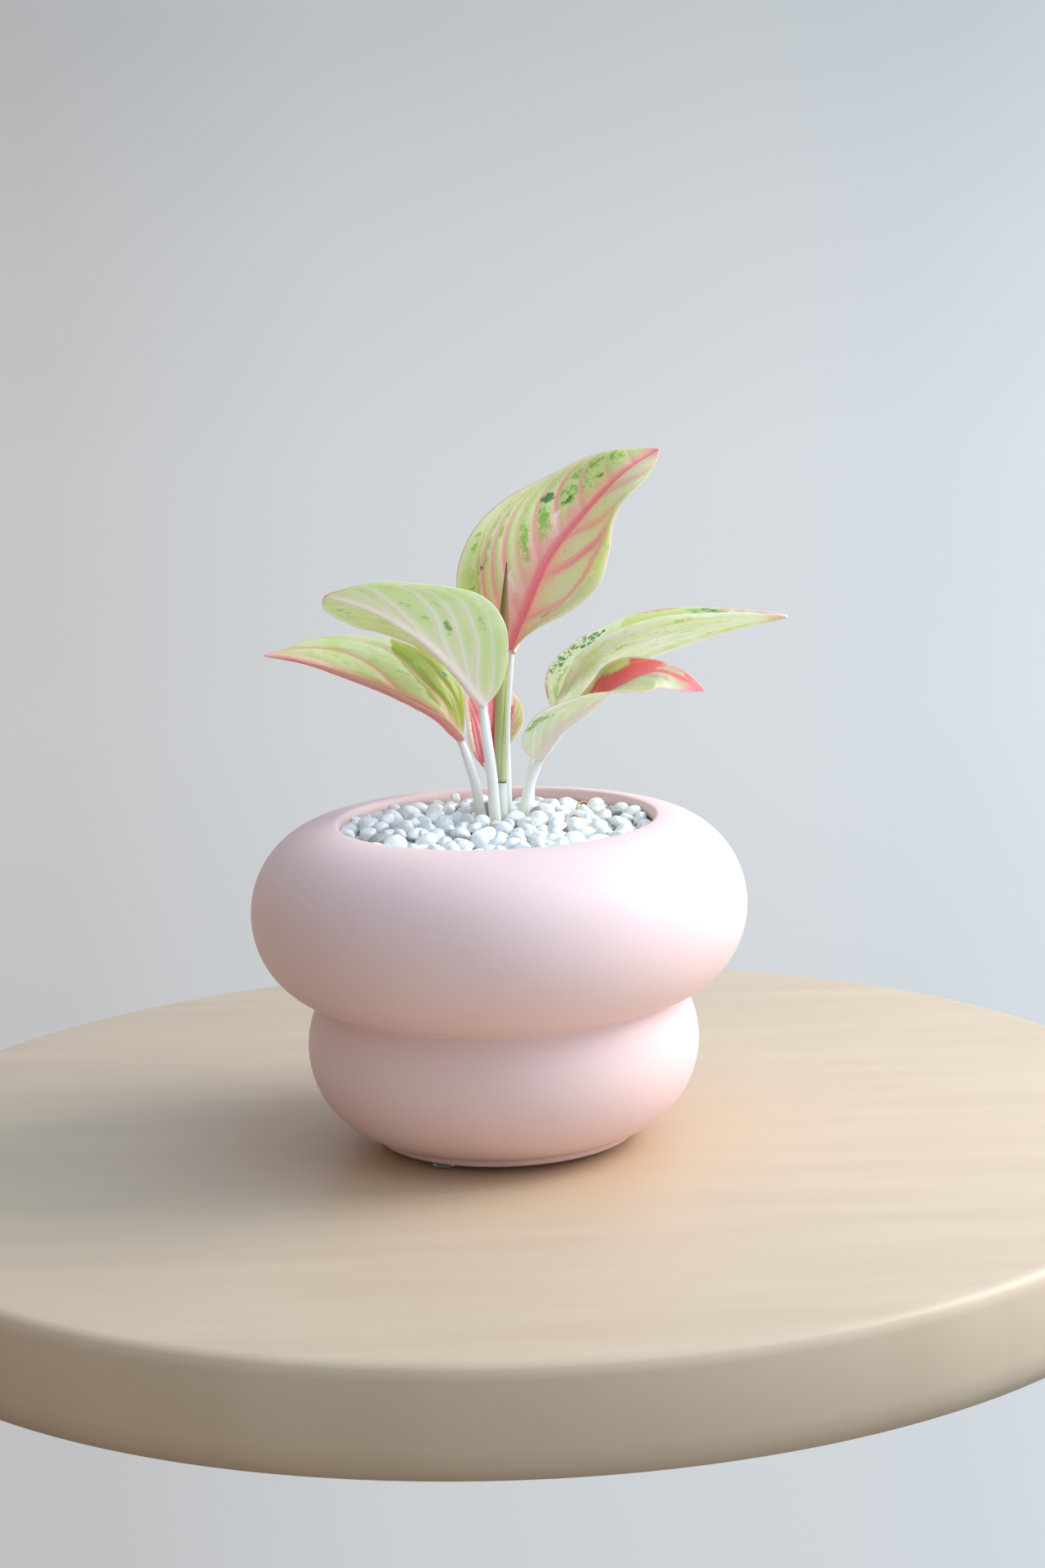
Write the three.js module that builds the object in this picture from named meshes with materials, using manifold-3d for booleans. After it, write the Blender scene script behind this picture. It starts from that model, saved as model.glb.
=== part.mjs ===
// Potted aglaonema: a double-bulge ceramic pot on three clear pads, soil, white gravel,
// six variegated leaves on cream stalks and one rolled new leaf. Millimetres, +Z up.
import * as THREE from 'three';
import { mergeVertices } from 'three/addons/utils/BufferGeometryUtils.js';
import Module from 'manifold-3d';

const wasm = await Module();
wasm.setup();

// Pot: two stacked bulges, each an ellipse swung round the axis
const padHeight = 2.5;
const upper = { ring: 65.25, reach: 34.75, z: 96.47, rise: 36.24 };
const lower = { ring: 43.34, reach: 35.96, z: 41.04, rise: 36.98 };
const footRadius = 53;
const wall = 6;
const lipRadius = 63.4;
const innerFloor = 10;
const potSides = 40;
const potTurn = 0.937;

// Clear pads under the foot
const pad = { radius: 5, tread: 4.2, ring: 46, count: 3, firstAngle: -122.6 };

// Filling
const clearance = 0.3;
const soilTop = 118;
const gravelRadius = 62.8;
const gravelTop = 129.5;
const mound = { x: 3, y: 20, rise: 4.5, spread: 22 };
const pebble = { spacing: 9.2, radius: 4.2, jitter: 1.6, sink: 3 };

// Short crown hidden in the filling, where the stalks join
const crown = { x: 3, y: 17, radius: 8, bottom: 98, top: 120 };

// Blade thickness at the rib and at the margin
const ribThickness = 1.5;
const marginThickness = 0.7;
const bladeRows = 15;
const bladeColumns = 4;
const tangentReach = 0.1;

// Each leaf: its stalk's path and radii, the points of its rib, the way its face looks at base,
// middle and tip, how far each half folds up and curls (degrees), its half width, the shape of
// its outline (p at the base, q at the tip) and the outline's unevenness on each side.
const leaves = {
  leaf_top: {
    stalk: [[4, 18.5, 116], [4.2, 19.6, 132], [5, 21.5, 146.5], [5.7, 25, 167.3], [8, 28.2, 194.4]],
    stalkRadii: [3, 2.5, 1.7, 1.35, 1.3],
    rib: [[8.3, 28.8, 195.1], [14.6, 34.7, 210.5], [24.3, 41.9, 230.8],
      [39, 48.3, 247.5], [55.7, 50.2, 264.1], [72, 56.4, 274.1]],
    face: [[-0.51, -0.43, 0.25], [0.27, -0.16, 0.73], [-0.14, -0.34, 0.76]],
    foldRight: [37, 25, 7], foldLeft: [24, 20, 9],
    curlRight: [-5, -10, -10], curlLeft: [-10, -11, -10],
    halfWidth: 31.7, p: 0.52, q: 0.83,
    right: [1, 1, 1.04, 0.98, 1.02], left: [1.01, 1.07, 0.96, 1.03, 0.99],
  },
  leaf_front_left: {
    stalk: [[1, 12, 116], [-0.5, 8, 132], [-0.4, 6, 147.5], [-1.8, 3, 163.9], [-3.1, 0.3, 177.3]],
    stalkRadii: [2.6, 2.4, 2.2, 2.1, 1.9],
    rib: [[-3.2, 0.2, 178.1], [-14, -5.3, 193.1], [-23.7, -13.2, 204.7],
      [-33.8, -21, 213.8], [-47.4, -30, 223.1], [-62.1, -39, 229.5]],
    face: [[0.43, 0.55, 0.71], [0.35, 0.66, 0.68], [0.37, 0.64, 0.68]],
    foldRight: [43, 23, 9], foldLeft: [36, 32, 14],
    curlRight: [-2, -13, -14], curlLeft: [-5, -9, -13],
    halfWidth: 28.7, p: 0.56, q: 0.75,
    right: [1.01, 1.01, 1.02, 1.05, 1.03], left: [0.97, 1.08, 1.07, 0.96, 0.98],
  },
  leaf_left: {
    stalk: [[-2, 17, 116], [-6.4, 18, 132], [-8, 19, 143], [-10.6, 21.5, 152], [-12.9, 24.3, 160.1]],
    stalkRadii: [2.2, 1.8, 1.6, 1.6, 1.6],
    rib: [[-13.2, 24.7, 160.8], [-23, 21.4, 171.4], [-40.1, 19.4, 181.4],
      [-57.6, 18.2, 189.2], [-74.7, 17.2, 195.9], [-90.9, 15.9, 199.6]],
    face: [[0.21, -0.37, 0.89], [0.2, -0.42, 0.86], [-0.11, -0.3, 0.93]],
    foldRight: [19, 28, 9], foldLeft: [28, 34, 27],
    curlRight: [-8, -5, -11], curlLeft: [-4, -3, -4],
    halfWidth: 24.7, p: 0.54, q: 0.99,
    right: [1.01, 0.99, 1.02, 1.06, 1], left: [1, 1, 1, 1, 1],
  },
  leaf_right_upper: {
    stalk: [[8, 21, 116], [13.5, 26, 132], [15, 29, 144.5], [18.7, 32, 156.4], [24.6, 35.2, 169.5]],
    stalkRadii: [2.2, 1.9, 1.7, 1.6, 1.6],
    rib: [[25, 35.3, 170.2], [34.7, 37.8, 175.9], [46.3, 39, 181.7],
      [63.3, 39, 189.9], [91, 38.6, 198.2], [121.9, 38.2, 205.3]],
    face: [[-0.23, -0.18, 0.96], [-0.2, -0.15, 0.97], [-0.1, -0.14, 0.97]],
    foldRight: [40, 52, 50], foldLeft: [31, 38, 34],
    curlRight: [-5, -4, -2], curlLeft: [-9, -10, -8],
    halfWidth: 26, p: 0.58, q: 0.81,
    right: [1, 1, 1.01, 1.08, 1.05], left: [0.99, 0.97, 0.99, 1.04, 1.01],
  },
  leaf_right_lower: {
    stalk: [[7, 16, 116], [11.4, 17.4, 132], [14.4, 17.2, 143], [17.9, 16, 152.2]],
    stalkRadii: [2.4, 2.2, 2, 1.8],
    rib: [[18.4, 15.8, 153], [27, 10.7, 165.1], [36.3, 7.9, 172.2],
      [50.8, 7.5, 183], [67.1, 10.4, 188], [85, 5.3, 180.6]],
    face: [[-0.43, -0.08, 0.93], [0.23, -0.07, 0.88], [0.4, -0.36, 0.85]],
    foldRight: [35, 23, -23], foldLeft: [37, 9, 1],
    curlRight: [-6, 2, -16], curlLeft: [-2, -6, -6],
    halfWidth: 22.2, p: 0.6, q: 0.67,
    right: [1.5, 0.96, 1.12, 1.18, 0.8], left: [1.01, 1.01, 1.08, 0.99, 1.03],
  },
  leaf_back: {
    stalk: [[2, 19, 116], [0.6, 21.5, 132], [-0.2, 26.5, 139.8], [-3.8, 34, 147.2]],
    stalkRadii: [2, 1.7, 1.5, 1.4],
    rib: [[-4, 34.7, 147.9], [-1.2, 44.3, 158.8], [0.1, 54.2, 166.7],
      [0.3, 64.2, 172.8], [-0.2, 74.4, 177.5], [-1.5, 84.4, 182]],
    face: [[-0.05, -0.74, 0.67], [0.12, -0.49, 0.84], [0.03, -0.3, 0.95]],
    foldRight: [33, 5, 5], foldLeft: [26, 19, 8],
    curlRight: [-2, -14, -12], curlLeft: [-5, -8, -11],
    halfWidth: 12.9, p: 0.57, q: 0.97,
    right: [0.98, 1.01, 0.97, 0.86, 0.92], left: [1.05, 0.92, 1.05, 1.02, 1.01],
  },
};

// Rolled new leaf and the short stalk that it stands on
const newLeaf = {
  stalk: [[2.4, 15, 116], [2.6, 15.2, 132], [2.8, 15.4, 143]],
  stalkRadii: [2.4, 2.2, 1.9],
  roll: [[2.9, 15.4, 143.9], [2.7, 15, 156.8], [3.1, 15, 170.2],
    [4.3, 15, 190.2], [6.1, 15.5, 213.3], [7.8, 16, 233.6]],
  rollRadii: [1.75, 2.2, 2.3, 2.15, 1.65, 0.35],
};

const colours = {
  pot: 0xe9cfce, pad: 0xdfe6e8, soil: 0x4a3526, gravel: 0xe4edf0, stalk: 0xece8d6,
  leaf: 0xb4c883, newLeaf: 0x9db56a,
};

function vector(point) {
  return new THREE.Vector3(point[0], point[1], point[2]);
}

function radians(degrees) {
  return THREE.MathUtils.degToRad(degrees);
}

// Small repeatable random numbers for the pebbles
function seeded(seed) {
  let state = seed;
  return () => {
    state = (state * 1664525 + 1013904223) % 4294967296;
    return state / 4294967296;
  };
}

function toSolid(geometry) {
  geometry.deleteAttribute('normal');
  geometry.deleteAttribute('uv');
  const merged = mergeVertices(geometry, 1e-4);
  return new wasm.Manifold(new wasm.Mesh({
    numProp: 3,
    vertProperties: new Float32Array(merged.attributes.position.array),
    triVerts: new Uint32Array(merged.index.array),
  }));
}

function toGeometry(solid) {
  const mesh = solid.getMesh();
  const geometry = new THREE.BufferGeometry();
  geometry.setAttribute('position', new THREE.BufferAttribute(new Float32Array(mesh.vertProperties), 3));
  geometry.setIndex(new THREE.BufferAttribute(new Uint32Array(mesh.triVerts), 1));
  return geometry.toNonIndexed();
}

// The largest body of a solid, without crumbs that a cut left loose
function mainBody(solid) {
  return solid.decompose().reduce((best, body) => (body.volume() > best.volume() ? body : best));
}

// A closed profile of radius and height swung round the Z axis
function turned(points, sides) {
  const profile = points.map(([radius, z]) => new THREE.Vector2(radius, z));
  const geometry = new THREE.LatheGeometry(profile, sides);
  geometry.rotateX(Math.PI / 2);
  return geometry;
}

function ellipsePoints(bulge, shrink, fromDegrees, toDegrees, count) {
  const points = [];
  for (let i = 0; i < count; i += 1) {
    const angle = radians(THREE.MathUtils.lerp(fromDegrees, toDegrees, i / (count - 1)));
    const radius = bulge.ring + (bulge.reach - shrink) * Math.cos(angle);
    points.push([radius, bulge.z + (bulge.rise - shrink) * Math.sin(angle)]);
  }
  return points;
}

// A round stalk: a cylinder bent along a curve, with its radius changing on the way
function stalkGeometry(points, radii, sides, steps, extra) {
  const curve = new THREE.CatmullRomCurve3(points.map(vector), false, 'catmullrom', 0.5);
  const reference = new THREE.Vector3(0.2, 1, 0);
  const geometry = new THREE.CylinderGeometry(1, 1, 1, sides, steps);
  const position = geometry.attributes.position;
  for (let i = 0; i < position.count; i += 1) {
    const along = position.getY(i) + 0.5;
    const centre = curve.getPoint(along);
    const tangent = curve.getTangent(along);
    const sideways = new THREE.Vector3().crossVectors(reference, tangent).normalize();
    const outward = new THREE.Vector3().crossVectors(tangent, sideways);
    const place = along * (radii.length - 1);
    const step = Math.min(Math.floor(place), radii.length - 2);
    const radius = THREE.MathUtils.lerp(radii[step], radii[step + 1], place - step) + extra;
    centre.addScaledVector(sideways, position.getZ(i) * radius);
    centre.addScaledVector(outward, position.getX(i) * radius);
    position.setXYZ(i, centre.x, centre.y, centre.z);
  }
  return geometry;
}

// Quadratic through the values at base, middle and tip
function through(values, u) {
  const [base, middle, tip] = values;
  return base * (1 - u) * (1 - 2 * u) + 4 * middle * u * (1 - u) + tip * u * (2 * u - 1);
}

function outlineFactor(values, u) {
  const points = values.map((value) => new THREE.Vector3(value, 0, 0));
  return new THREE.CatmullRomCurve3(points, false, 'catmullrom', 0.5).getPoint(u).x;
}

// A point of a blade's upper face: u runs from base to tip, v from rib to margin, side is 1 or -1
function bladePoint(leaf, curve, u, v, side) {
  const start = curve.getPoint(Math.max(u - tangentReach, 0));
  const tangent = curve.getPoint(Math.min(u + tangentReach, 1)).sub(start).normalize();
  const look = new THREE.Vector3(
    through(leaf.face.map((face) => face[0]), u),
    through(leaf.face.map((face) => face[1]), u),
    through(leaf.face.map((face) => face[2]), u),
  );
  look.addScaledVector(tangent, -look.dot(tangent)).normalize();
  const across = new THREE.Vector3().crossVectors(tangent, look);
  const peak = leaf.p / (leaf.p + leaf.q);
  const full = peak ** leaf.p * (1 - peak) ** leaf.q;
  const outline = (u ** leaf.p * (1 - u) ** leaf.q) / full;
  const factor = outlineFactor(side > 0 ? leaf.right : leaf.left, u);
  const width = Math.hypot(leaf.halfWidth * outline * factor, 1.2 - 0.8 * u);
  const fold = radians(through(side > 0 ? leaf.foldRight : leaf.foldLeft, u));
  const curl = radians(through(side > 0 ? leaf.curlRight : leaf.curlLeft, u)) || 0.001;
  const flat = (width * (Math.sin(fold + curl * v) - Math.sin(fold))) / curl;
  const raised = (width * (Math.cos(fold) - Math.cos(fold + curl * v))) / curl;
  return curve.getPoint(u).addScaledVector(across, side * flat).addScaledVector(look, raised);
}

// A blade as a closed solid: both faces are split into triangles alike
function bladeGeometry(leaf) {
  const curve = new THREE.CatmullRomCurve3(leaf.rib.map(vector), false, 'catmullrom', 0.5);
  const columns = 2 * bladeColumns - 1;
  const top = [];
  for (let row = 0; row < bladeRows; row += 1) {
    const u = (row / (bladeRows - 1)) ** 1.15;
    for (let column = 0; column < columns; column += 1) {
      const offset = column - (bladeColumns - 1);
      const v = Math.abs(offset) / (bladeColumns - 1);
      top.push(bladePoint(leaf, curve, u, v, offset < 0 ? 1 : -1));
    }
  }
  const at = (row, column) => top[row * columns + column];
  const bottom = top.map((point, index) => {
    const row = Math.floor(index / columns);
    const column = index % columns;
    const along = at(Math.min(row + 1, bladeRows - 1), column).clone();
    along.sub(at(Math.max(row - 1, 0), column));
    const over = at(row, Math.min(column + 1, columns - 1)).clone();
    over.sub(at(row, Math.max(column - 1, 0)));
    const down = new THREE.Vector3().crossVectors(over, along).normalize();
    const v = Math.abs(column - (bladeColumns - 1)) / (bladeColumns - 1);
    const thickness = marginThickness + (ribThickness - marginThickness) * (1 - v) ** 2;
    return point.clone().addScaledVector(down, -thickness);
  });
  const positions = [];
  const triangle = (a, b, c) => positions.push(...a.toArray(), ...b.toArray(), ...c.toArray());
  const low = (row, column) => bottom[row * columns + column];
  for (let row = 0; row < bladeRows - 1; row += 1) {
    for (let column = 0; column < columns - 1; column += 1) {
      triangle(at(row, column), at(row, column + 1), at(row + 1, column));
      triangle(at(row, column + 1), at(row + 1, column + 1), at(row + 1, column));
      triangle(low(row, column), low(row + 1, column), low(row, column + 1));
      triangle(low(row, column + 1), low(row + 1, column), low(row + 1, column + 1));
    }
    triangle(at(row, 0), at(row + 1, 0), low(row, 0));
    triangle(low(row, 0), at(row + 1, 0), low(row + 1, 0));
    triangle(at(row, columns - 1), low(row, columns - 1), at(row + 1, columns - 1));
    triangle(low(row, columns - 1), low(row + 1, columns - 1), at(row + 1, columns - 1));
  }
  const last = bladeRows - 1;
  for (let column = 0; column < columns - 1; column += 1) {
    triangle(at(0, column), low(0, column), at(0, column + 1));
    triangle(low(0, column), low(0, column + 1), at(0, column + 1));
    triangle(at(last, column), at(last, column + 1), low(last, column));
    triangle(low(last, column), at(last, column + 1), low(last, column + 1));
  }
  const geometry = new THREE.BufferGeometry();
  geometry.setAttribute('position', new THREE.Float32BufferAttribute(positions, 3));
  return geometry;
}

const plant = new THREE.Group();

function addPart(name, geometry, colour, roughness) {
  const material = new THREE.MeshStandardMaterial({ color: colour, roughness, metalness: 0 });
  const mesh = new THREE.Mesh(geometry, material);
  mesh.name = name;
  plant.add(mesh);
}

// Pot shell: outside up to the crest, over the rolled lip and down the inside
const outside = [
  [0, padHeight], [footRadius - 1.5, padHeight], [footRadius, padHeight + 1],
  ...ellipsePoints(lower, 0, -74, 30, 9),
  [73.5, 60.9],
  ...ellipsePoints(upper, 0, -74, 90, 13),
];
const inside = [
  [64.2, upper.z + upper.rise - 0.4], [63.6, upper.z + upper.rise - 1.5], [lipRadius, 129.4], [64.3, 126.8],
  ...ellipsePoints(upper, wall, 76, -60, 6),
  ...ellipsePoints(lower, wall, 24, -62, 5),
  [0, innerFloor],
];
const potGeometry = turned([...outside, ...inside], potSides);
potGeometry.rotateZ((potTurn * 2 * Math.PI) / potSides);
addPart('pot', potGeometry, colours.pot, 0.55);

for (let i = 0; i < pad.count; i += 1) {
  const angle = radians(pad.firstAngle + (360 / pad.count) * i);
  const profile = [[0, 0], [pad.tread, 0], [pad.radius, 1], [pad.radius, padHeight - clearance],
    [0, padHeight - clearance]];
  const geometry = turned(profile, 14);
  geometry.translate(pad.ring * Math.cos(angle), pad.ring * Math.sin(angle), 0);
  addPart(`pad_${i + 1}`, geometry, colours.pad, 0.15);
}

// Stalks and crown, fused into one body; grown by a margin they also cut their own holes
function stalksSolid(extra) {
  const crownProfile = [
    [0, crown.bottom - extra], [crown.radius * 0.6 + extra, crown.bottom - extra],
    [crown.radius + extra, crown.top - 6], [crown.radius - 1 + extra, crown.top + extra],
    [0, crown.top + extra],
  ];
  const crownGeometry = turned(crownProfile, 12);
  crownGeometry.translate(crown.x, crown.y, 0);
  let solid = toSolid(crownGeometry);
  for (const leaf of [...Object.values(leaves), newLeaf]) {
    solid = solid.add(toSolid(stalkGeometry(leaf.stalk, leaf.stalkRadii, 9, 8, extra)));
  }
  return solid;
}
const stalks = stalksSolid(0);
const stalkHoles = stalksSolid(clearance + 0.1);
addPart('stems', toGeometry(stalks), colours.stalk, 0.45);

// Soil, which fills the pot up to the gravel
const soilUpper = ellipsePoints(upper, wall + 1.2, 44, -60, 5);
const soilLower = ellipsePoints(lower, wall + 1.2, 24, -60, 5);
const soilProfile = [
  [0, soilTop], [soilUpper[0][0] - 1, soilTop],
  ...soilUpper.filter((point) => point[1] < soilTop - 1),
  ...soilLower,
  [0, innerFloor + 0.4],
].reverse();
const soil = toSolid(turned(soilProfile, potSides)).subtract(stalkHoles);
addPart('soil', toGeometry(mainBody(soil)), colours.soil, 0.95);

// Gravel: a bed with a low mound round the stems, and pebbles half sunk into it
function gravelHeight(x, y) {
  const distance = Math.hypot(x - mound.x, y - mound.y);
  return gravelTop + mound.rise * Math.exp(-(distance ** 2) / (2 * mound.spread ** 2));
}
const bed = gravelTop - 4;
const bedProfile = [[0, soilTop + clearance], [gravelRadius, soilTop + clearance],
  [gravelRadius, bed - 1.2], [gravelRadius - 1.5, bed], [0, bed]];
const moundProfile = [[0, bed - 2], [34, bed - 2], [30, bed + 1.2], [17, bed + 3.2], [0, bed + 4.2]];
const moundGeometry = turned(moundProfile, 20);
moundGeometry.translate(mound.x, mound.y, 0);
let gravel = toSolid(turned(bedProfile, 36)).add(toSolid(moundGeometry));
const random = seeded(7);
const rowStep = pebble.spacing * Math.sqrt(0.75);
const limit = lipRadius - pebble.radius - 0.9;
for (let row = -8; row <= 8; row += 1) {
  for (let column = -8; column <= 8; column += 1) {
    const x = (column + (row % 2 === 0 ? 0 : 0.5)) * pebble.spacing + (random() - 0.5) * pebble.jitter;
    const y = row * rowStep + (random() - 0.5) * pebble.jitter;
    const squash = 0.78 + 0.3 * random();
    const turn = new THREE.Euler(random() * 0.7, random() * 0.7, random() * 6.3);
    const lift = random() * 1.4;
    const reach = Math.hypot(x, y);
    if (reach < limit + 2.5) {
      const inward = Math.min(1, limit / reach);
      const geometry = new THREE.IcosahedronGeometry(pebble.radius, 0);
      geometry.scale(1, 0.78 + 0.2 * random(), squash * 0.92);
      geometry.applyMatrix4(new THREE.Matrix4().makeRotationFromEuler(turn));
      const height = gravelHeight(x * inward, y * inward) - pebble.sink + lift;
      geometry.translate(x * inward, y * inward, height);
      gravel = gravel.add(toSolid(geometry));
    }
  }
}
addPart('gravel', toGeometry(mainBody(gravel.subtract(stalkHoles))), colours.gravel, 0.6);

// Blades, each trimmed clear of the stalks
for (const [name, leaf] of Object.entries(leaves)) {
  const blade = toSolid(bladeGeometry(leaf)).subtract(stalkHoles);
  addPart(name, toGeometry(mainBody(blade)), colours.leaf, 0.45);
}
const roll = toSolid(stalkGeometry(newLeaf.roll, newLeaf.rollRadii, 10, 10, 0)).subtract(stalkHoles);
addPart('new_leaf', toGeometry(mainBody(roll)), colours.newLeaf, 0.45);

// The origin is under the middle of the whole plant, on the surface that the pads stand on
const box = new THREE.Box3().setFromObject(plant);
plant.position.set(-(box.min.x + box.max.x) / 2, -(box.min.y + box.max.y) / 2, 0);
const pottedPlant = new THREE.Group();
pottedPlant.add(plant);

export default pottedPlant;
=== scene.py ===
"""Potted aglaonema: matte pink double-bulge pot, white gravel, variegated leaves with pink veins.

Pieces are drawn in millimetres round the pot's axis, and mesh_piece turns them into metres in the shared frame.
"""
import bpy
import math
import numpy as np
from mathutils import Matrix, Vector, noise


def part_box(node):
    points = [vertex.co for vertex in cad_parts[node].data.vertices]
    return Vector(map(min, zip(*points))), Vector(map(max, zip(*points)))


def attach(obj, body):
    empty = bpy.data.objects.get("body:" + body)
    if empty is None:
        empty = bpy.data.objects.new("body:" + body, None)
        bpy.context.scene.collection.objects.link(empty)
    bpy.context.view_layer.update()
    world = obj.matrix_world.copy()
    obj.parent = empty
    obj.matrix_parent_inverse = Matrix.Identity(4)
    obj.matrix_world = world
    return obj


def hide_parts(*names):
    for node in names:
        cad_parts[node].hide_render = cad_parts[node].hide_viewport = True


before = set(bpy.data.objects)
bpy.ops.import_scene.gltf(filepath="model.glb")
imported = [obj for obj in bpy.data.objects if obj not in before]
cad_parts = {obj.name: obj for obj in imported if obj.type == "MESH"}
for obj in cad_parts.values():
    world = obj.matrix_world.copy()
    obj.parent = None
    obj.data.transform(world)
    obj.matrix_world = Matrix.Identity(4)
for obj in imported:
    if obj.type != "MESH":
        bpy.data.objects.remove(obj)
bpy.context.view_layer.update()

# ---- frame
pot_low, pot_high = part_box("pot")
AXIS = np.array([(pot_low.x + pot_high.x) / 2, (pot_low.y + pot_high.y) / 2, 0])
FULL_TURN = 2 * math.pi


def metres(points):
    return np.asarray(points, float) / 1000 + AXIS


# ---- mesh helpers
def mesh_piece(name, points, faces, materials, slot=None, node=None, floats=None, face_slots=None):
    """A smooth mesh object; with a slot it rides on the one body."""
    mesh = bpy.data.meshes.new(name)
    mesh.from_pydata([tuple(p) for p in metres(points)], [], faces)
    for key, values in (floats or {}).items():
        layer = mesh.attributes.new(key, "FLOAT", "POINT")
        layer.data.foreach_set("value", np.asarray(values, np.float32))
    for material in materials:
        mesh.materials.append(material)
    if face_slots is not None:
        mesh.polygons.foreach_set("material_index", np.asarray(face_slots, np.int32))
    mesh.polygons.foreach_set("use_smooth", [True] * len(mesh.polygons))
    mesh.update()
    piece = bpy.data.objects.new(name, mesh)
    bpy.context.scene.collection.objects.link(piece)
    if slot:
        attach(piece, "root")
    if node:
        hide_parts(node)
    return piece


def spline(points, u):
    """Uniform Catmull-Rom through the points, at each parameter of u in 0 to 1."""
    P = np.asarray(points, float)
    P = np.vstack([2 * P[0] - P[1], P, 2 * P[-1] - P[-2]])
    count = len(P) - 3
    x = np.clip(np.atleast_1d(u), 0, 1) * count
    i = np.minimum(x.astype(int), count - 1)
    t = (x - i)[:, None]
    a, b, c, d = P[i], P[i + 1], P[i + 2], P[i + 3]
    return 0.5 * (2 * b + (c - a) * t + (2 * a - 5 * b + 4 * c - d) * t ** 2 + (3 * b - a - 3 * c + d) * t ** 3)


def factor(values, u):
    """The same spline through plain numbers."""
    return spline(np.array(values, float)[:, None], u)[:, 0]


def unit(v):
    return v / np.maximum(np.linalg.norm(v, axis=-1, keepdims=True), 1e-9)


def smoothstep(low, high, x):
    t = np.clip((x - low) / (high - low), 0, 1)
    return t * t * (3 - 2 * t)


def lathe(profile, sides):
    """Points and faces of a profile of radius and height swung round the axis; it starts and ends on it."""
    points, faces, rings = [], [], []
    for radius, z in profile:
        count = 1 if radius < 1e-6 else sides
        rings.append(range(len(points), len(points) + count))
        for k in range(count):
            angle = FULL_TURN * k / sides
            points.append((radius * math.cos(angle), radius * math.sin(angle), z))
    for low, high in zip(rings, rings[1:]):
        for k in range(sides):
            n = (k + 1) % sides
            if len(low) == 1:
                faces.append((low[0], high[n], high[k]))
            elif len(high) == 1:
                faces.append((low[k], low[n], high[0]))
            else:
                faces.append((low[k], low[n], high[n], high[k]))
    return np.array(points), faces


def tube(path, radii, sides, rings, shape=None):
    """A capped round stalk along a path, and its coordinates; shape(t, angle) scales its radius."""
    t = np.linspace(0, 1, rings)
    centre = spline(path, t)
    ahead = unit(spline(path, np.minimum(t + 0.02, 1)) - spline(path, np.maximum(t - 0.02, 0)))
    side = unit(np.cross(np.array([0.2, 1, 0]), ahead))
    out = np.cross(ahead, side)
    radius = factor(radii, t)
    points, along, around, faces = [], [], [], []
    for i in range(rings):
        for k in range(sides):
            angle = FULL_TURN * k / sides
            r = radius[i] * (shape(t[i], angle) if shape else 1)
            points.append(centre[i] + r * (math.cos(angle) * side[i] + math.sin(angle) * out[i]))
            along.append(t[i])
            around.append(angle)
            if i:
                n, low, high = (k + 1) % sides, (i - 1) * sides, i * sides
                faces.append((low + k, low + n, high + n, high + k))
    faces.append(tuple(reversed(range(sides))))
    faces.append(tuple(range((rings - 1) * sides, rings * sides)))
    return np.array(points), faces, {"along": np.array(along), "around": np.array(around)}


def joined(parts):
    """Several (points, faces, floats) as one; floats is a dict of arrays with the same keys."""
    points, faces, floats = [], [], {}
    shift = 0
    for p, f, values in parts:
        points.append(p)
        faces += [tuple(i + shift for i in face) for face in f]
        for key, value in values.items():
            floats.setdefault(key, []).append(value)
        shift += len(p)
    return np.vstack(points), faces, {key: np.concatenate(value) for key, value in floats.items()}


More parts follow.
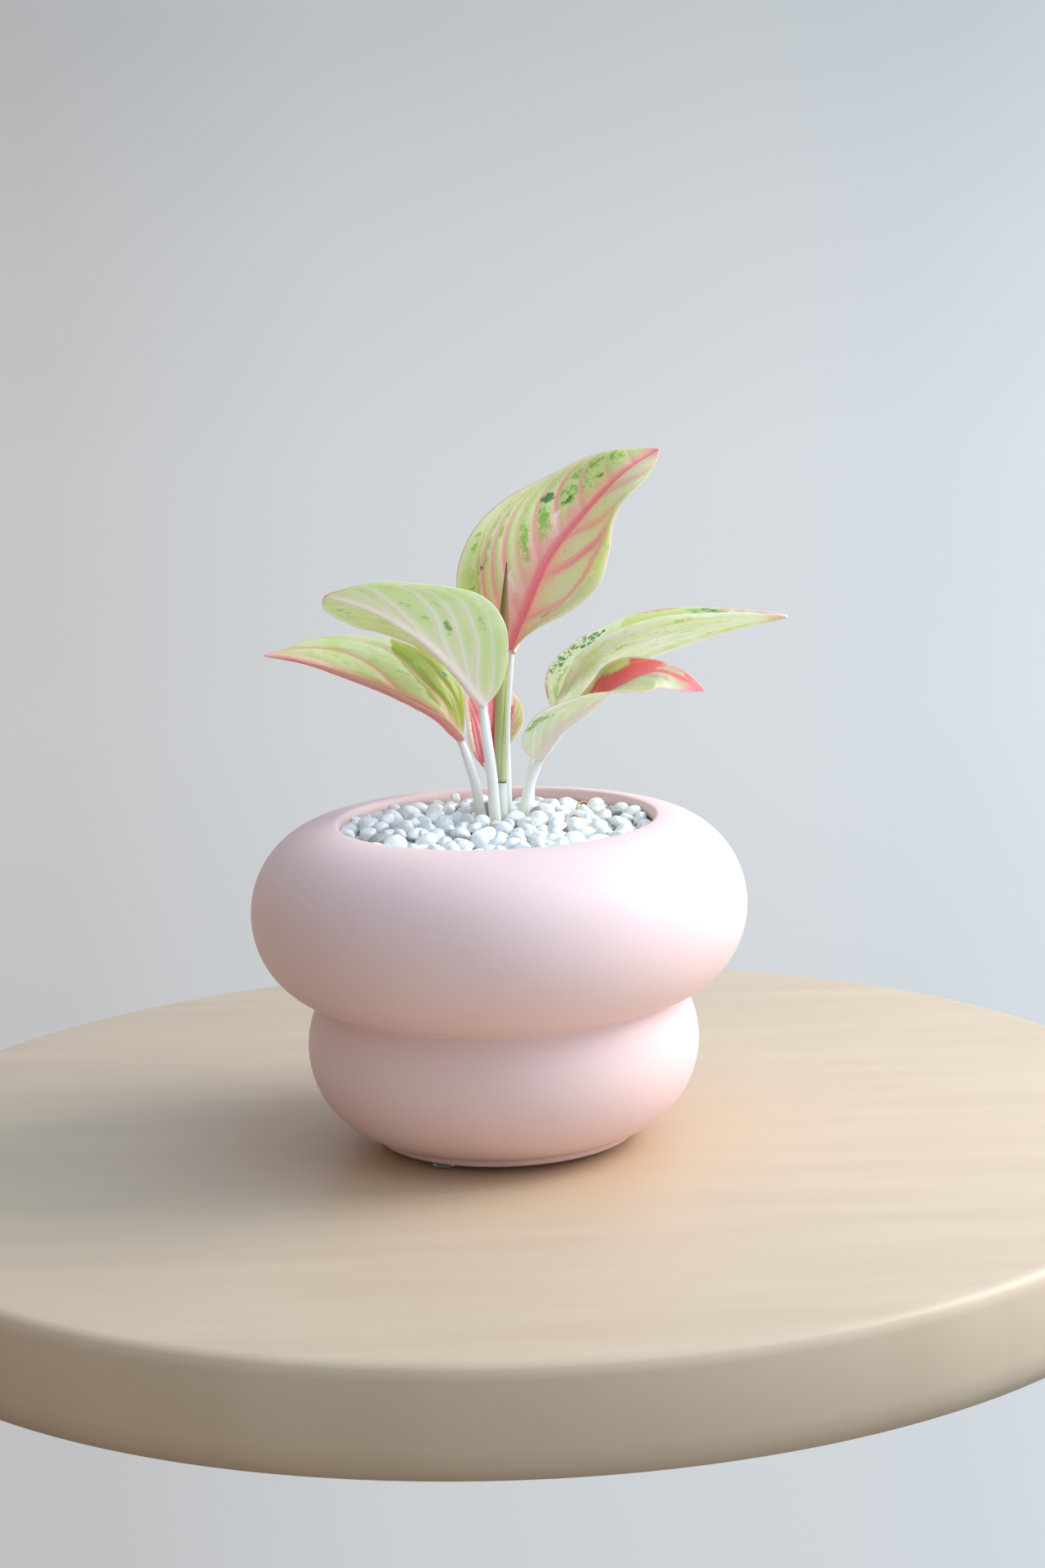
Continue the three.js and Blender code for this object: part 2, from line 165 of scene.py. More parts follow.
# ---- node helper
class Nodes:
    """Short names for the nodes that the materials and the world share."""

    def __init__(self, owner):
        owner.use_nodes = True
        self.owner = owner
        self.tree = owner.node_tree
        self.shader = next(n for n in self.tree.nodes if n.type in ("BSDF_PRINCIPLED", "BACKGROUND"))

    def new(self, kind, **settings):
        node = self.tree.nodes.new("ShaderNode" + kind)
        for key, value in settings.items():
            setattr(node, key, value)
        return node

    def link(self, source, target):
        if isinstance(source, (int, float)):
            target.default_value = source
        elif isinstance(source, tuple):
            target.default_value = (*source, 1)
        else:
            self.tree.links.new(source, target)

    def feed(self, node, *sources):
        """The node's first output, once its first inputs have their sources."""
        for source, target in zip(sources, node.inputs):
            self.link(source, target)
        return node.outputs[0]

    def value(self, name):
        return self.new("Attribute", attribute_name=name).outputs["Fac"]

    def place(self):
        return self.new("TexCoord").outputs["Object"]

    def math(self, operation, *numbers):
        return self.feed(self.new("Math", operation=operation), *numbers)

    def times(self, a, b):
        return self.math("MULTIPLY", a, b)

    def centred(self, x):
        return self.math("SUBTRACT", x, 0.5)

    def moved(self, x, by, amount):
        return self.math("MULTIPLY_ADD", by, amount, x)

    def step(self, x, low, high, start=0.0, end=1.0, kind="SMOOTHSTEP"):
        return self.feed(self.new("MapRange", interpolation_type=kind), x, low, high, start, end)

    def mix(self, amount, a, b, blend="MIX"):
        node = self.new("Mix", data_type="RGBA", blend_type=blend)
        for source, socket in ((amount, 0), (a, 6), (b, 7)):
            self.link(source, node.inputs[socket])
        return node.outputs[2]

    def vector(self, x, y, z):
        return self.feed(self.new("CombineXYZ"), x, y, z)

    def noise(self, vector, scale, detail=2.0, roughness=0.5, distortion=0.0):
        node = self.new("TexNoise")
        for key, source in (("Vector", vector), ("Scale", scale), ("Detail", detail), ("Roughness", roughness),
                            ("Distortion", distortion)):
            self.link(source, node.inputs[key])
        return node.outputs["Fac"]

    def ramp(self, x, stops):
        """Colours at positions from low to high."""
        node = self.new("ValToRGB")
        elements = node.color_ramp.elements
        for element, (at, tone) in zip((elements[0], elements[1]), (stops[0], stops[-1])):
            element.position, element.color = at, (*tone, 1)
        for at, tone in stops[1:-1]:
            elements.new(at).color = (*tone, 1)
        return self.feed(node, x)

    def bump(self, height, strength, distance):
        node = self.new("Bump")
        for key, source in (("Strength", strength), ("Distance", distance), ("Height", height)):
            self.link(source, node.inputs[key])
        self.link(node.outputs[0], self.shader.inputs["Normal"])

    def cover(self, mask, colour):
        """Lay a colour over the colour so far."""
        self.colour = self.mix(mask, self.colour, colour)

    def tint(self, x, low, high, colour, amount=1.0):
        """Lay a colour over the colour so far where x passes from low to high."""
        self.cover(self.step(x, low, high, 0, amount), colour)

    def finish(self, roughness, **sockets):
        self.link(self.colour, self.shader.inputs["Base Color"])
        self.link(roughness, self.shader.inputs["Roughness"])
        for key, value in sockets.items():
            self.shader.inputs[key.replace("_", " ")].default_value = value
        return self.owner


def shading(name, colour):
    """Nodes of a new material that start from a colour."""
    n = Nodes(bpy.data.materials.new(name))
    n.colour = colour
    return n


# ---- materials
def pot_material():
    n = shading("matte_pink_ceramic", (0.84, 0.595, 0.565))
    where = n.place()
    broad = n.noise(where, 14)
    fine = n.noise(where, 900, 3, 0.6)
    n.tint(broad, 0.3, 0.7, (0.865, 0.625, 0.595))
    n.tint(fine, 0.62, 0.8, (0.64, 0.45, 0.44), 0.12)
    n.bump(n.moved(n.noise(where, 260), fine, 0.25), 0.12, 0.0004)
    rough = n.step(broad, 0.2, 0.8, 0.47, 0.56)
    return n.finish(rough, Specular_IOR_Level=0.45, Coat_Weight=0.12, Coat_Roughness=0.35)


def pad_material():
    n = shading("clear_pad", (0.86, 0.9, 0.92))
    haze = n.noise(n.place(), 300)
    n.cover(haze, (0.93, 0.95, 0.96))
    n.bump(haze, 0.05, 0.0003)
    return n.finish(n.step(haze, 0.2, 0.8, 0.1, 0.2), IOR=1.46, Transmission_Weight=0.85)


def soil_material():
    n = shading("potting_soil", (0.03, 0.017, 0.009))
    crumbs = n.noise(n.place(), 420, 6, 0.7, 0.4)
    n.tint(crumbs, 0.35, 0.7, (0.12, 0.07, 0.038))
    n.bump(crumbs, 0.8, 0.002)
    return n.finish(n.step(crumbs, 0.3, 0.7, 0.95, 0.8), Specular_IOR_Level=0.3)


def gravel_material():
    n = shading("white_gravel", (0.885, 0.895, 0.875))
    where = n.place()
    tone = n.value("tone")
    grain = n.noise(where, 1400, 3, 0.6)
    n.tint(tone, 0.0, 0.9, (0.95, 0.95, 0.925))
    n.tint(n.noise(where, 160, 4, 0.6, 0.5), 0.5, 0.75, (0.8, 0.85, 0.875), 0.3)
    n.tint(tone, 0.955, 0.96, (0.4, 0.4, 0.37))
    stain = n.step(n.noise(where, 55, 3, 0.6, 0.6), 0.66, 0.78, 0, 0.45)
    n.cover(n.times(stain, n.step(tone, 0.5, 0.9)), (0.6, 0.43, 0.24))
    n.bump(n.moved(n.noise(where, 330, 4, 0.6), grain, 0.3), 0.55, 0.0014)
    return n.finish(n.step(grain, 0.3, 0.7, 0.42, 0.62), Specular_IOR_Level=0.45,
                    Subsurface_Weight=0.12, Subsurface_Scale=0.002)


def bed_shade_material():
    # painted shade: a dark ground for the gaps between stones, with pale lumps of deeper gravel
    n = shading("gravel_bed_painted_shade", (0.22, 0.19, 0.17))
    lumps = n.noise(n.place(), 240, 5, 0.7, 0.6)
    n.tint(lumps, 0.42, 0.6, (0.66, 0.68, 0.68))
    n.bump(lumps, 0.9, 0.003)
    return n.finish(n.step(lumps, 0.3, 0.7, 0.9, 0.7))


def stalk_material():
    n = shading("cream_stalk", (0.92, 0.885, 0.815))
    along, around = n.value("along"), n.value("around")
    streak = n.noise(n.vector(n.times(along, 0.9), n.times(around, 3.0), n.value("seed")), 5, 3, 0.6)
    mottle = n.noise(n.place(), 330, 3, 0.6)
    n.tint(streak, 0.35, 0.7, (0.96, 0.925, 0.88))
    n.tint(mottle, 0.5, 0.75, (0.78, 0.8, 0.66), 0.25)
    n.tint(along, 0.84, 1.0, (0.84, 0.72, 0.64), 0.3)
    n.tint(along, 0.52, 0.34, (0.83, 0.8, 0.66), 0.4)
    n.bump(streak, 0.18, 0.0004)
    return n.finish(n.step(mottle, 0.3, 0.7, 0.36, 0.48), Specular_IOR_Level=0.5, Subsurface_Weight=0.8,
                    Subsurface_Radius=(1.0, 0.95, 0.9), Subsurface_Scale=0.004)


def new_leaf_material():
    n = shading("rolled_leaf", (0.36, 0.45, 0.13))
    along, around = n.value("along"), n.value("around")
    streak = n.noise(n.vector(n.times(along, 1.2), n.times(around, 2.4), 3.0), 5, 4, 0.6)
    n.tint(streak, 0.35, 0.68, (0.56, 0.62, 0.27))
    n.tint(n.value("seam"), 0.3, 0.95, (0.2, 0.27, 0.07), 0.5)
    n.tint(along, 0.44, 0.12, (0.66, 0.7, 0.36), 0.75)
    n.tint(n.moved(along, n.centred(streak), 0.16), 0.64, 0.76, (0.27, 0.16, 0.05))
    n.tint(along, 0.93, 1.0, (0.12, 0.06, 0.03))
    n.tint(along, 0.022, 0.006, (0.3, 0.17, 0.07))
    n.bump(streak, 0.3, 0.0005)
    return n.finish(n.step(streak, 0.3, 0.7, 0.38, 0.5), Subsurface_Weight=0.12, Subsurface_Scale=0.002)


def fibre_material():
    n = shading("dry_fibre", (0.4, 0.23, 0.09))
    mottle = n.noise(n.place(), 700, 3, 0.6)
    n.cover(mottle, (0.62, 0.4, 0.18))
    return n.finish(n.step(mottle, 0.2, 0.8, 0.7, 0.9))


def leaf_material(name, look, upper):
    """Green field, flecks, arched veins, flushed rib and patches, drawn in the blade's own coordinates."""
    n = shading(name, look["pale"])
    x, y = n.value("blade_x"), n.value("blade_y")
    phase, strength = n.value("phase"), n.value("strength")
    flat = n.vector(x, y, look["seed"] * 9)
    drawn = n.vector(n.times(phase, 5.0), n.times(n.math("ADD", x, n.math("ABSOLUTE", y)), 0.3), look["seed"])
    mottle = n.noise(flat, 0.32, 4, 0.62, 0.3)
    grain = n.noise(flat, 1.1, 4, 0.65)
    coarse, fine = n.centred(mottle), n.centred(grain)
    away = n.moved(n.times(n.math("PINGPONG", phase, 0.5), n.value("spacing")), coarse, 1.1)
    # green field
    n.tint(n.noise(flat, 0.07, 3, 0.55), 0.36, 0.64, look["green"])
    n.tint(n.noise(drawn, 0.9, 4, 0.65, 0.5), 0.44, 0.72, look["deep"], look["streaks"])
    n.tint(mottle, 0.52, 0.74, look["light"], 0.4)
    n.tint(grain, 0.55, 0.75, look["deep"], 0.22)
    # broad washes under the markings: tan, and olive, which on some blades is painted shade
    for key, amount in (("tan", look["wash"]), ("olive", look["patch"])):
        n.tint(n.moved(n.moved(n.value(key), coarse, 1.3), fine, 0.7), 0.34, 0.66, look[key], amount)
    # flecks between the veins
    torn = n.moved(n.value("fleck"), n.centred(n.noise(drawn, 1.15, 3, 0.66, 0.8)), 2.8)
    speckle = n.step(torn, look["fleck_edge"], look["fleck_edge"] + 0.14)
    n.cover(n.times(speckle, n.step(away, 0.6, 1.15, 0, look["fleck_strength"])), look["fleck"])
    # lateral veins: a crisp core in a soft halo
    firm = n.times(strength, n.step(mottle, 0.25, 0.5, 0.75, 1.0))
    n.cover(n.times(n.step(away, 3.0, 0.7, 0, look["halo"]), firm), look["blush"])
    n.cover(n.times(n.step(away, 1.15, 0.5, 0, look["core"]), firm), look["vein"])
    # cream patches, which on the top blade are painted highlights, red patches with torn edges, dark blots
    for key in ("cream", "red"):
        n.tint(n.moved(n.moved(n.value(key), coarse, 1.4), fine, 1.0), 0.32, 0.68, look[key], look["patch"])
    torn = n.moved(n.value("dark"), n.centred(n.noise(flat, 0.7, 3, 0.6)), 1.5)
    n.tint(torn, 0.42, 0.58, look["dark"], look["dark_strength"])
    # flush that spreads out of the rib, the rib, the margin and the tip
    n.tint(n.moved(n.value("flush"), coarse, 0.5), 0.12, 1.0, look["glow"], look["flush"])
    n.tint(n.value("rib"), 1.4, 0.65, look["rib"], look["rib_strength"])
    n.tint(n.moved(n.value("edge"), coarse, 1.2), look["margin_mm"], 0.3, look["margin_colour"], look["margin"])
    n.tint(n.value("along"), 0.9, 0.99, look["tip_colour"], look["tip"])
    relief = n.moved(n.moved(n.step(away, 0.2, 1.6, 0, 0.8), mottle, 0.35), grain, 0.12)
    n.bump(relief, 0.2 if upper else 0.14, 0.0004)
    rough = n.step(mottle, 0.3, 0.7, *((0.27, 0.38) if upper else (0.44, 0.54)))
    return n.finish(rough, Specular_IOR_Level=0.42 if upper else 0.4, Subsurface_Weight=0.85,
                    Subsurface_Radius=(1.0, 1.0, 0.8), Subsurface_Scale=look["depth"])


# ---- looks of the leaves, colours in hundredths
LEAF_GAIN = 1.09
GREEN_LOOK = dict(
    seed=1, pale=(54, 58.5, 28), green=(46, 54, 20), deep=(38, 48, 13), light=(62, 60, 34), streaks=0.45,
    fleck=(24, 41, 8), fleck_edge=0.55, tan=(60, 42, 21), margin_mm=1, margin_colour=(70, 38, 30), fleck_strength=0.9,
    wash=0.6, depth=0.0022, dark=(7, 17, 4), dark_strength=0.95, blush=(66, 46, 33), vein=(74, 29, 28), halo=0.5,
    core=0.85, cream=(80, 70, 56), olive=(48, 47, 14), red=(66, 8, 9), patch=0.95, glow=(74, 32, 27), flush=0.9,
    rib=(82, 17, 20), rib_strength=0.95, margin=0.4, tip=0.5, tip_colour=(78, 24, 26))
# the undersides are paler, with whitish pink veins
UNDER_LOOK = dict(
    pale=(64, 75, 42), green=(56, 71, 33), deep=(50, 66, 26), light=(68, 76, 48), streaks=0.3, fleck=(38, 50, 19),
    fleck_edge=0.6, fleck_strength=0.6, dark=(22, 36, 12), dark_strength=0.7, blush=(72, 77, 54), vein=(80, 77, 63),
    core=0.8, cream=(74, 70, 56), tan=(70, 62, 46), margin_colour=(74, 66, 50), olive=(50, 58, 24),
    red=(72, 48, 40), patch=0.5, glow=(82, 72, 60), flush=0.6, rib=(88, 74, 67), rib_strength=0.85, margin=0.35,
    tip=0.4, tip_colour=(74, 56, 46))


def merged_look(*parts):
    """The looks laid over each other, their colours as fractions times the gain that all leaves share."""
    merged = {key: value for part in parts for key, value in part.items()}
    return {key: tuple(min(1.0, LEAF_GAIN * (c / 100)) for c in value) if isinstance(value, tuple) else value
            for key, value in merged.items()}


# ---- leaves
TANGENT_REACH = 0.1


def pairs(numbers):
    """Points (u, v) from a row of hundredths; u runs along the rib and v from the rib to the edge."""
    return [(u / 100, v / 100) for u, v in zip(numbers[::2], numbers[1::2])]


def hand_veins(*rows):
    """Veins drawn one by one: each row has a strength and its points, in hundredths."""
    return [(row[0] / 100, pairs(row[1:])) for row in rows]


def arched(starts, reach, out, rise):
    """Veins that leave the rib at each start and arch towards the tip: strength and points (u, v)."""
    columns = np.linspace(0, 1, 9)
    sweep = out * columns + rise * columns ** 3
    return [(strength, [(s + (reach[0] - reach[1] * s) * g, v) for g, v in zip(sweep, columns)])
            for s, strength in starts]


def plain_veins(spacing, strength=0.8):
    starts = [(s, strength * (1 - 0.55 * max(s, 0))) for s in np.arange(-1.6 * spacing, 0.93, spacing)]
    return arched(starts, (1.3, 1.2), 0.27, 0.17)


# stalk, rib and face hold x, y, z, and the stalk goes on to the rib. fold and curl, in degrees at the base, the middle
# and the tip, and outline, which scales the width along the blade, hold the right half and then the left. A mark is a
# radius (0 for a closed patch) and its points in hundredths. look and under say how the upper face and the underside
# differ from the shared looks.
LEAVES = {}
LEAVES["leaf_top"] = dict(
    stalk=[(4, 18.5, 116), (4.2, 19.6, 132), (5, 21.5, 146.5), (5.7, 25, 167.3)],
    stalk_radii=[3, 2.5, 1.7, 1.35, 1.118],
    rib=[(8.3, 28.8, 195.1), (14.6, 34.7, 210.5), (24.3, 41.9, 230.8), (39, 48.3, 247.5), (55.7, 50.2, 264.1),
        (72, 56.4, 274.1)],
    face=[(-0.51, -0.43, 0.25), (0.27, -0.16, 0.73), (-0.14, -0.34, 0.76)], half_width=31.7, p=0.52, q=0.83,
    fold=((37, 25, 7), (24, 20, 9)), curl=((-5, -10, -10), (-10, -11, -10)),
    outline=((1, 1, 1.04, 0.98, 1.02), (1.01, 1.07, 0.985, 1.05, 0.99)),
    vein_width=(3, 1.2), rib_width=(2.9, 1.1), flush_width=(16, 3.6), torn=1.7,
    veins_left=arched([(-0.2, 0.4), (-0.08, 0.95), (0.045, 0.75), (0.16, 1), (0.25, 0.3), (0.36, 0.75), (0.485, 1),
        (0.61, 0.5), (0.74, 0.25), (0.86, 0.2)], (1.62, 1.75), 0.24, 0.13),
    veins_right=hand_veins((50, 5, 0, 7, 40, 12, 70, 30, 88, 50, 100),
        (85, 17, 0, 19, 30, 24, 63, 36, 71, 52, 78, 60, 86, 68, 100),
        (100, 32, 0, 33, 3, 39, 34, 48, 56, 56, 71, 64, 85, 74, 100),
        (60, 49, 0, 51, 8, 57, 29, 64, 63, 72, 85, 82, 100), (50, 68, 0, 74, 30, 82, 65, 93, 100)),
    marks=dict(
        dark_left=[(2, 57.5, 61, 58.5, 60), (0.7, 60, 34, 63, 36), (0.6, 74.5, 31, 75.5, 31), (0.6, 29, 69, 30, 69)],
        fleck_left=[(2.6, 53, 46, 50, 34, 45, 19), (2.2, 45, 46, 41, 34, 38, 24), (1.6, 42, 82, 46, 80),
            (1.8, 48, 90, 58, 92), (2.1, 70, 64, 75, 68, 81, 68, 88, 64), (1.9, 60, 34, 67, 37), (1, 70, 40, 76, 31),
            (2, 27, 72, 32, 70), (1.5, 62, 50, 66, 46), (1.5, 36, 72, 42, 70), (1.3, 20, 70, 24, 72),
            (1.2, 33, 88, 37, 88)],
        fleck_right=[(3.2, 18, 70, 22, 70)],
        # painted highlights: the two cream lines are the gloss along two veins
        cream_left=[(1, 55.5, 32, 52, 17, 50, 5), (1.4, 29.5, 34, 25, 22, 20, 8)],
        red_left=[(0, 63, 2, 60, 26, 56, 12, 54.5, 0), (0, 50, 0, 47, 12, 40, 26, 38.5, 0),
            (0, 30, -5, 25, 20, 12, 36, 0, 36, 0, -5)],
        tan_right=[(0, 2, -10, 10, 60, 30, 78, 50, 88, 75, 80, 99, 110, 99, -10)]),
    look=dict(seed=3, margin=0.9, margin_mm=0.9, pale=(53, 55.5, 27), tan=(68, 58, 38), wash=0.7, patch=0.9,
        # the cream colour on the next line is the near-white of the painted highlights
        cream=(100, 86, 94), fleck=(23, 38, 4), fleck_strength=1, red=(80, 31, 28), glow=(82, 37, 32), halo=0.48,
        core=0.9, fleck_edge=0.46, rib=(95, 24, 26), rib_strength=0.85, margin_colour=(72, 34, 28)))
LEAVES["leaf_front_left"] = dict(
    stalk=[(1, 12, 116), (-0.5, 8, 132), (-1, 6, 147.5), (-2.6, 3, 163.9)],
    stalk_radii=[2.6, 2.4, 2.2, 2.1, 1.634],
    rib=[(-3.2, 0.2, 178.1), (-14, -5.3, 193.1), (-23.7, -13.2, 204.7), (-33.8, -21, 213.8), (-47.4, -30, 223.1),
        (-62.1, -39, 229.5)],
    face=[(0.43, 0.55, 0.71), (0.35, 0.66, 0.68), (0.37, 0.64, 0.68)], half_width=28.7, p=0.56, q=0.75,
    fold=((43, 23, 9), (36, 32, 14)), curl=((-2, -13, -14), (-5, -9, -13)),
    outline=((1.01, 1.01, 1.02, 1.1, 1.5), (0.97, 1.08, 1.07, 0.96, 1.15)),
    vein_width=(1.7, 2), rib_width=(2.7, 1.2), flush_width=(6.5, 4.5),
    veins_left=hand_veins((60, -50, 0, -25, 35, -5, 66, 10, 82, 30, 100),
        (90, -25, 0, -12, 25, 2, 51, 18, 69, 32, 80, 46, 95, 52, 100),
        (100, 2, 0, 9, 15, 23, 46, 37, 61, 52, 80, 61, 90, 70, 100),
        (85, 9, 0, 14, 10, 29, 28, 43, 46, 57, 68, 66, 82, 79, 100),
        (100, 15, 0, 20, 5, 36, 14, 48, 32, 62, 56, 71, 75, 87, 100),
        (90, 42, 0, 47, 3, 58, 12, 68, 24, 79, 46, 89, 83, 93, 100), (50, 60, 0, 70, 8, 80, 20, 90, 50, 97, 100)),
    veins_right=plain_veins(0.15),
    marks=dict(
        fleck_left=[(2.4, 39, 34, 45, 40), (1.6, 66, 37, 70, 35), (1.5, 56, 60, 60, 57), (1.4, 81, 60, 87, 55),
            (1.6, 30, 72, 36, 76), (1.5, 50, 28, 56, 30)],
        fleck_right=[(1.5, 74, 62, 88, 70)],
        dark_left=[(1.1, 41, 36, 45, 39)]),
    look=dict(seed=8, depth=0.0016, margin=0.8, margin_mm=0.8, margin_colour=(40, 48, 22)),
    under=dict(depth=0.0016, margin=0.8, margin_mm=0.9, margin_colour=(44, 54, 27), fleck_strength=0.85,
        dark=(20, 34, 9)))
LEAVES["leaf_left"] = dict(
    stalk=[(-2, 17, 116), (-6.4, 18, 132), (-8, 19, 143), (-10.6, 21.5, 152)],
    stalk_radii=[2.4, 2.2, 2.05, 1.9, 1.462],
    rib=[(-13.2, 24.7, 160.8), (-23, 21.4, 171.4), (-40.1, 19.4, 181.4), (-57.6, 18.2, 189.2), (-74.7, 17.2, 195.9),
        (-90.9, 15.9, 199.6)],
    face=[(0.21, -0.37, 0.89), (0.2, -0.42, 0.86), (-0.11, -0.3, 0.93)], half_width=24.7, p=0.54, q=0.99,
    fold=((19, 28, 9), (31, 37, 30)), curl=((-8, -5, -11), (-4, -3, -4)),
    outline=((1.01, 0.99, 1.02, 1.06, 1), (1, 1, 1, 1, 1)),
    vein_width=(0.9, 0.7), rib_width=(1.9, 0.9), flush_width=(4, 2.2),
    veins_left=plain_veins(0.2),
    veins_right=hand_veins((50, -20, 0, -2, 35, 15, 58, 25, 70, 33, 83, 48, 100),
        (80, 7, 0, 17, 29, 30, 45, 39, 61, 49, 75, 58, 83, 70, 94, 76, 100),
        (100, 36, 0, 42, 17, 49, 32, 59, 46, 68, 54, 79, 60, 90, 78, 97, 100),
        (30, 62, 0, 72, 14, 84, 28, 95, 50, 110, 100)),
    marks=dict(
        red_left=[(0, -10, -30, -10, 130, 110, 130, 110, -30)],
        # painted shadow: the dark olive patch over the right half is the shadow of the front-left leaf above
        olive_right=[(0, 50, 110, 46, 77, 40, 56, 34, 42, 26, 24, 16, 12, 0, 8, -2, 110)],
        dark_right=[(1, 23.5, 83, 24.5, 83)],
        fleck_right=[(1.6, 22, 80, 27, 80), (1.2, 33, 68, 37, 68), (1.1, 22, 51, 24, 51), (1.2, 36, 44, 40, 44)]),
    look=dict(seed=14, pale=(55, 56, 30), green=(47, 50, 19), blush=(60, 42, 24), vein=(60, 29, 19), halo=0.25,
        # the olive colour on the next line is the colour of that painted shadow
        core=0.75, rib=(72, 25, 20), glow=(70, 42, 30), streaks=0.3, margin=0.5, olive=(27, 30.5, 0.5), patch=1,
        dark=(9, 16, 2), red=(64, 22, 19)),
    under=dict(rib=(78, 33, 30), glow=(74, 32, 29), flush=1, red=(68, 26, 25), patch=0.9))
LEAVES["leaf_right_upper"] = dict(
    stalk=[(8, 21, 116), (13.5, 26, 132), (15, 29, 144.5), (18.7, 32, 156.4)],
    stalk_radii=[2.2, 1.9, 1.7, 1.6, 1.376],
    rib=[(25, 35.3, 170.2), (34.7, 37.8, 175.9), (46.3, 39, 181.7), (63.3, 39, 189.9), (91, 38.6, 198.2),
        (121.9, 38.2, 205.3)],
    face=[(-0.23, -0.18, 0.96), (-0.2, -0.15, 0.97), (-0.1, -0.14, 0.97)], half_width=26, p=0.58, q=0.81,
    fold=((40, 52, 50), (31, 38, 34)), curl=((-5, -4, -2), (-9, -10, -8)),
    outline=((1, 1.12, 1.08, 1.06, 0.8), (0.99, 0.97, 0.99, 1.04, 0.8)),
    vein_width=(1.3, 0.9), rib_width=(1, 0.5), flush_width=(2.2, 1),
    veins_left=hand_veins((60, 0, 0, 6, 50, 16, 75, 36, 88, 70, 94, 90, 100),
        (80, 6, 0, 14, 40, 26, 56, 45, 65, 75, 70, 97, 80, 120, 100),
        (70, 22, 0, 32, 20, 48, 36, 68, 45, 90, 50, 150, 100), (40, 42, 0, 52, 10, 70, 22, 90, 30, 190, 100)),
    veins_right=hand_veins((50, 0, 0, 6, 50, 15, 75, 35, 88, 70, 93, 90, 100),
        (70, 6, 0, 14, 40, 26, 58, 45, 67, 75, 71, 97, 80, 120, 100),
        (80, 22, 0, 32, 20, 48, 36, 68, 45, 90, 50, 150, 100), (40, 42, 0, 52, 10, 70, 22, 90, 30, 190, 100)),
    dots=(37, 97, 41, 96, 41, 77, 38, 78, 44, 83, 47, 84, 25, 84, 30, 88, 33, 93, 35, 86, 40, 88, 46, 91, 49, 88, 19,
        87, 22, 78, 15, 90, 24, 92, 43, 90, 28, 94, 80, 90, 82, 86),
    marks=dict(
        fleck_left=[(2.8, 44, 79, 42, 88, 37, 96), (2.6, 18, 80, 30, 90), (1.7, 76, 88, 85, 88),
            (3.4, 9, 36, 15, 43, 25, 51)],
        fleck_right=[(1.1, 72, 41, 77, 41), (1.1, 60, 93, 58, 90), (1.1, 72, 80, 75, 82), (1, 79, 19, 84, 21),
            (1.1, 52, 51, 56, 52), (1.1, 34, 61, 37, 62)],
        # painted shade: a dark olive wedge at the base of the near half's margin, in the fold
        olive_right=[(0, 2, 110, 8, 84, 22, 90, 27, 110)],
        red_left=[(0.9, 2, 100, 9, 100, 16, 100), (0.8, 62, 100, 74, 99), (0.8, 84, 98, 93, 96, 99, 50)],
        tan_left=[(0, 5, 62, 12, 110, 50, 110, 52, 84, 40, 66, 22, 60)],
        olive_left=[(0, 56, 76, 60, 110, 84, 110, 86, 80)]),
    look=dict(seed=21, pale=(62, 70, 42), green=(54, 65, 36), deep=(44, 58, 24), light=(68, 72, 48),
        blush=(70, 66, 46), vein=(78, 58, 46), halo=0.45, core=0.4, tan=(68, 74, 50), wash=0.8, olive=(44, 52, 14),
        patch=0.8, dark=(5, 17, 7), rib=(78, 60, 50), glow=(74, 62, 48), flush=0.5, depth=0.003, tip=0.8,
        tip_colour=(60, 28, 24), margin=0.6, margin_mm=1.3, margin_colour=(80, 34, 32), fleck=(20, 38, 10),
        fleck_strength=0.95),
    under=dict(pale=(74, 80, 53), green=(62, 74, 36), deep=(46, 62, 20), light=(80, 82, 60), streaks=0.65,
        depth=0.003, margin=0.3, margin_colour=(80, 50, 42), tip=0.8, tip_colour=(60, 34, 26), patch=0.8,
        fleck=(34, 52, 20), fleck_strength=1, fleck_edge=0.5))
